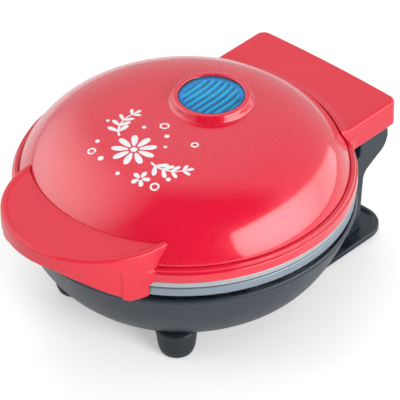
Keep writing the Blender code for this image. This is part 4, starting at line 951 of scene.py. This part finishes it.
def ribbed_blue():
    """Ribbed insert under the lens, coloured by rib height: dark teal in the furrows is painted shade,
    near-white cyan on the crests is a painted highlight, and the mid blue of the flanks and the plain
    border is the insert's own blue.
    """
    material, tree, shader, place = new_material("ribbed_blue")
    level = tree.nodes.new("ShaderNodeSeparateXYZ")
    tree.links.new(place, level.inputs["Vector"])
    top = (BOSS_TOP - LENS_RECESS - LENS_DEPTH - 0.1) * MM
    height = remap(tree, level.outputs["Z"], 0, 1, top - RIB_HEIGHT * MM, top)
    # Colour follows height: painted shade in the furrows, painted highlight on the crests, the insert's own
    # blue between
    crest_highlight_furrow_shade = tree.nodes.new("ShaderNodeValToRGB")
    tree.links.new(height, crest_highlight_furrow_shade.inputs["Fac"])
    stops = crest_highlight_furrow_shade.color_ramp.elements
    stops[0].position, stops[0].color = 0.2, (0.01, 0.12, 0.22, 1)
    stops[1].position, stops[1].color = 0.85, (0.10, 0.95, 0.98, 1)
    middle = stops.new(0.5)
    middle.color = (0.0, 0.30, 0.85, 1)
    tree.links.new(crest_highlight_furrow_shade.outputs["Color"], shader.inputs["Base Color"])
    ladder = tree.nodes.new("ShaderNodeTexWave")
    ladder.bands_direction = "Y"
    ladder.inputs["Scale"].default_value = math.pi / 10 / (LADDER_PITCH * MM)
    tree.links.new(place, ladder.inputs["Vector"])
    rough_by(tree, shader, ladder.outputs["Fac"], 0.10, 0.3, 0.0, 1.0)
    set_values(shader, Coat_Weight=0.5)
    add_bump(tree, shader, ladder.outputs["Fac"], 0.7, 0.0002)
    return material


def white_print():
    """White printed enamel."""
    material, tree, shader, place = new_material("white_print")
    colour_by(tree, shader, noise(tree, place, 0.002, 3), (0.78, 0.79, 0.81), (0.86, 0.86, 0.87))
    set_values(shader, Roughness=0.35)
    add_bump(tree, shader, noise(tree, place, 0.0005, 3), 0.3, 0.00001)
    return material


# Pieces

def make_lid(looks):
    """Dome, ring, handle, block and upper plate."""
    mesh_piece("dome", dome_shape(), looks["pearl"], "lid", ["dome_cover"])
    mesh_piece("lid_ring", turned(ring_profile()), looks["ring"], "lid", ["lid_frame"])
    reach = HANDLE_RADIUS + 1
    handle = surface_nets(handle_field, (-reach - 1, HANDLE_FRONT - 1, HANDLE_LOW - 1.2),
                          (reach + 1, HANDLE_Y + 7, HANDLE_TOP + 1))
    mesh_piece("handle", handle, looks["satin"], "lid", ["lid_frame"], weighted=False)
    block = surface_nets(block_field, (-BLOCK_HALF - 3, BLOCK_FRONT + 1, PIVOT.z - EAR_RADIUS - 1),
                         (BLOCK_HALF + 3, BLOCK_REAR + 1, BLOCK_TOP + 2.5))
    mesh_piece("hinge_block", block, looks["satin"], "lid", ["lid_frame"], weighted=False)
    mesh_piece("upper_cooking_plate", plate_shape(UPPER_FACE, -1, UPPER_RIM), looks["plate"], "lid",
               ["upper_plate"])
    mesh_piece("upper_pegs", merged(peg_shapes(UPPER_FACE, -1)), looks["plate"], "lid",
               ["upper_plate"])


def make_lens(looks):
    """Clear lens over its ribbed insert."""
    top = BOSS_TOP - LENS_RECESS
    crown = [(LENS_RADIUS * share, top + LENS_CROWN * (1 - share ** 2))
             for share in (0, 0.15, 0.3, 0.45, 0.6, 0.75, 0.88, 0.96)]
    low = top - LENS_DEPTH
    rim = rounded([crown[-1], (LENS_RADIUS, top, 0.3), (LENS_RADIUS, low, 0.2), (0, low)],
                  closed=False)
    cover = turned(list(reversed(crown + rim[1:])), (0, LENS_Y), 96)
    mesh_piece("lens_cover", cover, looks["lens"], "lid", ["indicator_lens"])
    floor = low - 0.1
    wide = LENS_RADIUS - 0.05
    points, faces = turned([(0, floor - 4), (wide, floor - 4), (wide, floor)]
                           + [(share * wide, floor) for share in np.linspace(1, 0, 56)[1:]],
                           (0, LENS_Y), 160)
    across, along = points[:, 0], points[:, 1] - LENS_Y
    bent = across + RIB_BEND * np.maximum(along + 2, 0) ** 2
    ridge = 0.5 + 0.5 * np.cos(bent / RIB_PITCH * math.tau)
    inside = ramp((LENS_RADIUS - LENS_BORDER - np.hypot(across, along)) / 0.8 + 0.5)
    level = BORDER_LEVEL + (ridge - BORDER_LEVEL) * inside
    points[:, 2] -= np.where(points[:, 2] > floor - 1, RIB_HEIGHT * (1 - level), 0)
    mesh_piece("lens_ribs", (points, faces), looks["ribs"], "lid", ["indicator_lens"],
               weighted=False)


def ribbon(line, half_widths):
    """Thin closed strip of print along a line on the dome, in plan."""
    across = np.linspace(-1, 1, 7)
    line = np.asarray(line, float)
    heading = np.gradient(line, axis=0)
    heading /= np.linalg.norm(heading, axis=1)[:, None]
    side = np.stack([-heading[:, 1], heading[:, 0]], 1)
    layers = []
    for lift in (PRINT_LIFT, -PRINT_LIFT):
        for share in across[::1 if lift > 0 else -1]:
            plan = line + side * (np.asarray(half_widths)[:, None] * share)
            height = dome_height(np.hypot(plan[:, 0], plan[:, 1])) + lift
            layers.append(np.column_stack([plan, height]))
    rings = np.stack(layers, 1)
    return lofted([[tuple(place) for place in ring] for ring in rings])


def blob(centre, reach, width, turn):
    """Petal or leaf: pointed at its root, round at its tip."""
    along = np.linspace(0.02, 0.98, 15)
    heading = np.array((math.cos(turn), math.sin(turn)))
    line = np.array(centre) + heading * (along * reach)[:, None]
    return ribbon(line, width * np.sqrt(along * (1 - along)) * (0.75 + 0.6 * along))


def dot(centre, radius):
    """Round dot."""
    along = np.linspace(-0.99, 0.99, 15)
    line = np.array(centre) + np.column_stack([along * radius, along * 0])
    return ribbon(line, radius * np.sqrt(1 - along ** 2))


def loop(centre, radius, width):
    """Small ring."""
    turns = np.linspace(0, math.tau * 0.97, 33)
    line = np.array(centre) + np.column_stack([np.cos(turns), np.sin(turns)]) * radius
    return ribbon(line, np.full(33, width))


def sprig(root, turn, bend, reach, leaves):
    """Curved twig with leaves on both sides."""
    shares = np.linspace(0, 1, 18)
    turns = turn + bend * shares
    steps = np.column_stack([np.cos(turns), np.sin(turns)]) * reach / 17
    line = np.array(root) + np.cumsum(steps, axis=0)
    shapes = [ribbon(line, 0.45 - 0.25 * shares)]
    for number in range(leaves):
        spot = int(3 + 13 * number / (leaves - 1))
        size = 5.0 - 2.0 * number / leaves
        for side in (-1, 1):
            shapes.append(blob(line[spot], size, size * 0.34, turns[spot] + side * 0.85))
    shapes.append(blob(line[-1], 3.4, 1.2, turns[-1]))
    return shapes


def make_print(looks):
    """Generic flower and leaf print on the dome's front."""
    middle = np.array(PRINT_CENTRE)
    shapes = []
    for number in range(9):
        turn = math.tau * number / 9 + 0.2
        shapes.append(blob(middle + 1.9 * np.array((math.cos(turn), math.sin(turn))), 6.6, 2.3, turn))
    shapes.append(dot(middle, 1.3))
    shapes += sprig(middle + (-9.0, 2.0), 2.6, -1.2, 15.0, 4)
    shapes += sprig(middle + (9.0, -1.0), -0.3, 1.3, 14.0, 4)
    for x, y, radius in PRINT_DOTS:
        shapes.append(dot(middle + (x, y), radius))
    for x, y, radius in PRINT_LOOPS:
        shapes.append(loop(middle + (x, y), radius, 0.35))
    bud = middle + (12.5, -9.5)
    for number in range(5):
        turn = math.tau * number / 5 + 0.5
        shapes.append(blob(bud + 0.5 * np.array((math.cos(turn), math.sin(turn))), 3.1, 1.6, turn))
    mesh_piece("dome_print", merged(shapes), looks["print"], "lid", ["dome_cover"],
               weighted=False)


def make_base(looks):
    """Bowl, lower plate, stand, feet and gland."""
    bowl, boss = bowl_shape()
    mesh_piece("base_bowl", bowl, looks["charcoal"], "base", ["base_shell"])
    mesh_piece("outlet_boss", boss, looks["charcoal"], "base", ["base_shell"])
    # The lower plate takes the darker copy of the plate coating; its darkness is painted shade
    mesh_piece("lower_cooking_plate", plate_shape(LOWER_FACE, 1, LOWER_RIM), looks["plate_low_painted_shade"], "base",
               ["lower_plate"])
    mesh_piece("lower_pegs", merged(peg_shapes(LOWER_FACE, 1)), looks["plate_low_painted_shade"], "base",
               ["lower_plate"])
    mesh_piece("stand_plate", stand_plate(), looks["charcoal"], "base", ["rear_stand"])
    cutter = bowl_solid(0.15)
    foot_cutter = bowl_solid(0.05)
    for side, tag in ((-1, "left"), (1, "right")):
        ends = sorted((side * ARM_INNER, side * ARM_OUTER))
        arm = carve(slab(arm_outline(), ends[0], ends[1], ARM_EDGE), cutter)
        mesh_piece("arm_" + tag, arm, looks["charcoal"], "base", ["rear_stand"])
        foot = turned(foot_profile(), (side * FOOT_X, FOOT_Y), SMALL_ROUND)
        mesh_piece("front_foot_" + tag, carve(foot, foot_cutter), looks["foot"], "base",
                   ["foot_" + tag])
    face = OUTLET_FACE + 0.2
    profile = rounded([(GLAND_BORE, face + 2, 0.5), (GLAND_FLANGE - 0.8, face + 2, 0.7),
                       (GLAND_FLANGE, face, 0.2), (GLAND_NECK, face),
                       (GLAND_NECK, face - GLAND_LENGTH), (GLAND_BORE, face - GLAND_LENGTH)], steps=4)
    mesh_piece("gland", across_y(profile), looks["rubber"], "base", ["cord_gland"])


def dress_frame(looks):
    """Materials of the frame nodes that stay."""
    finishes = {
        "ceramic": ("terminal_block", "thermostat", "lamp_holder"),
        "sleeve": ("lower_leads", "upper_leads", "thermal_fuse"),
        "sheet": ("lower_heat_shield", "upper_heat_shield"),
        "rubber": ("foot_pad_left", "foot_pad_right", "stand_pad_left", "stand_pad_right"),
        "glass": ("neon_lamp",),
    }
    chosen = {node: look for look, nodes in finishes.items() for node in nodes}
    for name, node in frame["nodes"].items():
        material = looks[chosen.get(name, "steel")]
        node.data.materials.clear()
        node.data.materials.append(material)


def all_looks():
    """Every material by name."""
    return {
        "pearl": pearl_red(),
        "satin": worn_plastic("satin_red", (0.69, 0.012, 0.034), (0.74, 0.016, 0.040), 0.32, 0.0005,
                              0.000012, 0.35, 0.25),
        "ring": worn_plastic("ring_red", (0.68, 0.004, 0.028), (0.74, 0.006, 0.034), 0.22, 0.0006,
                             0.000005, 1.0, 0.05),
        "charcoal": worn_plastic("charcoal", (0.018, 0.028, 0.040), (0.024, 0.035, 0.048), 0.30,
                                 0.0005, 0.000012),
        "foot": worn_plastic("foot_grey", (0.014, 0.019, 0.024), (0.019, 0.024, 0.029), 0.42,
                             0.0005, 0.00002),
        "rubber": worn_plastic("rubber", (0.02, 0.02, 0.022), (0.03, 0.03, 0.032), 0.75, 0.0006,
                               0.00004),
        "ceramic": worn_plastic("ceramic", (0.70, 0.66, 0.58), (0.78, 0.75, 0.68), 0.4, 0.0007,
                                0.00002, 0.3),
        "glass": worn_plastic("lamp_glass", (0.8, 0.55, 0.35), (0.9, 0.65, 0.45), 0.15, 0.001,
                              0.00001, 0.5),
        # Both plates have one grey coating; the lower plate's copy is made darker as painted shade, and
        # bluer
        "plate": plate_metal("plate_light", (0.42, 0.44, 0.46), (0.52, 0.54, 0.56), 0.42),
        "plate_low_painted_shade": plate_metal("plate_coating_painted_shade", (0.24, 0.30, 0.35), (0.31, 0.37, 0.43), 0.40),
        "steel": metal("steel", (0.62, 0.62, 0.63), 0.32),
        "sheet": metal("bright_sheet", (0.80, 0.81, 0.82), 0.22),
        "sleeve": woven_sleeve(),
        "lens": tinted_lens(),
        "ribs": ribbed_blue(),
        "print": white_print(),
    }


# Stage

def make_floor():
    """Pale floor that keeps the shadow."""
    mesh = bpy.data.meshes.new("floor")
    size = 6.0
    mesh.from_pydata([(-size, -size, 0), (size, -size, 0), (size, size, 0), (-size, size, 0)], [],
                     [(0, 1, 2, 3)])
    floor = bpy.data.objects.new("floor", mesh)
    bpy.context.scene.collection.objects.link(floor)
    material, tree, shader, place = new_material("floor")
    tree.links.new(mixed(tree, noise(tree, place, 0.2), (0.86, 0.86, 0.86), (0.88, 0.88, 0.88)),
                   shader.inputs["Base Color"])
    set_values(shader, Roughness=0.9, Specular_IOR_Level=0.0, Emission_Color=(1, 1, 1, 1))
    path = tree.nodes.new("ShaderNodeLightPath")
    tree.links.new(blend_values(tree, "MULTIPLY", path.outputs["Is Camera Ray"], FLOOR_LIFT),
                   shader.inputs["Emission Strength"])
    mesh.materials.append(material)


def toward(azimuth, elevation):
    """Direction from an azimuth, 0 to the front and 90 to the right, and an elevation in degrees."""
    turn, rise = math.radians(azimuth), math.radians(elevation)
    return (math.sin(turn) * math.cos(rise), -math.cos(turn) * math.cos(rise), math.sin(rise))


def blend_values(tree, operation, first, second):
    """Two values joined by a math operation."""
    node = tree.nodes.new("ShaderNodeMath")
    node.operation = operation
    for socket, value in zip(node.inputs, (first, second)):
        if isinstance(value, (int, float)):
            socket.default_value = value
        else:
            tree.links.new(value, socket)
    return node.outputs[0]


def sky_lobe(tree, place, azimuth, elevation, inner, outer, strength):
    """Soft round patch of the surroundings, full up to inner and gone from outer degrees."""
    aim = tree.nodes.new("ShaderNodeVectorMath")
    aim.operation = "DOT_PRODUCT"
    aim.inputs[1].default_value = toward(azimuth, elevation)
    tree.links.new(place, aim.inputs[0])
    return remap(tree, aim.outputs["Value"], 0, strength, math.cos(math.radians(outer)),
                 math.cos(math.radians(inner)))


def make_world():
    """White surroundings, plain for diffuse light; reflections show a studio's windows and cards."""
    world = bpy.data.worlds.new("studio")
    bpy.context.scene.world = world
    world.use_nodes = True
    tree = world.node_tree
    background = tree.nodes["Background"]
    path = tree.nodes.new("ShaderNodeLightPath")
    place = tree.nodes.new("ShaderNodeTexCoord").outputs["Generated"]
    level = GLOSS_LEVEL
    for patch in GLOSS_DARK:
        left = blend_values(tree, "SUBTRACT", 1.0, sky_lobe(tree, place, *patch))
        level = blend_values(tree, "MULTIPLY", left, level)
    window = blend_values(tree, "MULTIPLY", sky_lobe(tree, place, *WINDOW_REACH, 1.0),
                          sky_lobe(tree, place, *WINDOW_LIMIT, 1.0))
    shine = blend_values(tree, "ADD", sky_lobe(tree, place, *WINDOW_HEART), WINDOW_LEVEL)
    level = blend_values(tree, "MAXIMUM", level, blend_values(tree, "MULTIPLY", window, shine))
    level = blend_values(tree, "MAXIMUM", level, sky_lobe(tree, place, *SIDE_PATCH))
    glossy = blend_values(tree, "MULTIPLY", path.outputs["Is Glossy Ray"], level)
    white = blend_values(tree, "MAXIMUM", path.outputs["Is Camera Ray"],
                         path.outputs["Is Transmission Ray"])
    seen = blend_values(tree, "MAXIMUM", white, glossy)
    shown = blend_values(tree, "MAXIMUM", white, path.outputs["Is Glossy Ray"])
    plain = blend_values(tree, "MULTIPLY", blend_values(tree, "SUBTRACT", 1.0, shown), SKY_LEVEL)
    tree.links.new(blend_values(tree, "ADD", seen, plain), background.inputs["Strength"])
    background.inputs["Color"].default_value = (1, 1, 1, 1)


def add_lamp(name, place, aim, width, height, power):
    """Soft rectangular lamp, its places in metres."""
    data = bpy.data.lights.new(name, "AREA")
    data.shape = "RECTANGLE"
    data.size = width
    data.size_y = height
    data.energy = power
    lamp = bpy.data.objects.new(name, data)
    lamp.visible_glossy = False
    bpy.context.scene.collection.objects.link(lamp)
    lamp.location = place
    lamp.rotation_euler = (Vector(aim) - Vector(place)).to_track_quat("-Z", "Y").to_euler()


def make_lamps():
    """Key lamp from the left rear, window-like lamp from the right, soft fill from the left."""
    middle = (0, 0, 0.05)
    add_lamp("key", (-0.55, 0.35, 1.0), middle, 0.8, 0.8, 4.0)
    add_lamp("window", (0.95, -0.15, 0.45), middle, 0.5, 0.5, 7.0)
    add_lamp("left", (-0.55, -0.75, 0.65), middle, 0.5, 0.5, 2.0)


def make_camera():
    """Camera at the photo's viewing angle."""
    azimuth, elevation = CAMERA_AZIMUTH, CAMERA_ELEVATION
    back = Vector((math.sin(azimuth) * math.cos(elevation),
                   -math.cos(azimuth) * math.cos(elevation), math.sin(elevation)))
    level_right = Vector((math.cos(azimuth), math.sin(azimuth), 0))
    level_up = back.cross(level_right)
    right = level_right * math.cos(CAMERA_ROLL) + level_up * math.sin(CAMERA_ROLL)
    up = level_up * math.cos(CAMERA_ROLL) - level_right * math.sin(CAMERA_ROLL)
    data = bpy.data.cameras.new("camera")
    data.sensor_width = SENSOR
    data.lens = CAMERA_LENS
    data.clip_start = 0.05
    data.clip_end = 50
    camera = bpy.data.objects.new("camera", data)
    bpy.context.scene.collection.objects.link(camera)
    eye = (CAMERA_TARGET + Vector((0, AXIS_Y, 0)) + back * CAMERA_DISTANCE) * MM
    turn = Matrix((right, up, back)).transposed().to_4x4()
    camera.matrix_world = Matrix.Translation(eye) @ turn
    bpy.context.scene.camera = camera


looks = all_looks()
make_camera()
make_world()
make_lamps()
make_floor()
dress_frame(looks)
make_lid(looks)
make_lens(looks)
make_print(looks)
make_base(looks)
bpy.context.scene.view_settings.view_transform = "Standard"

bpy.context.view_layer.update()
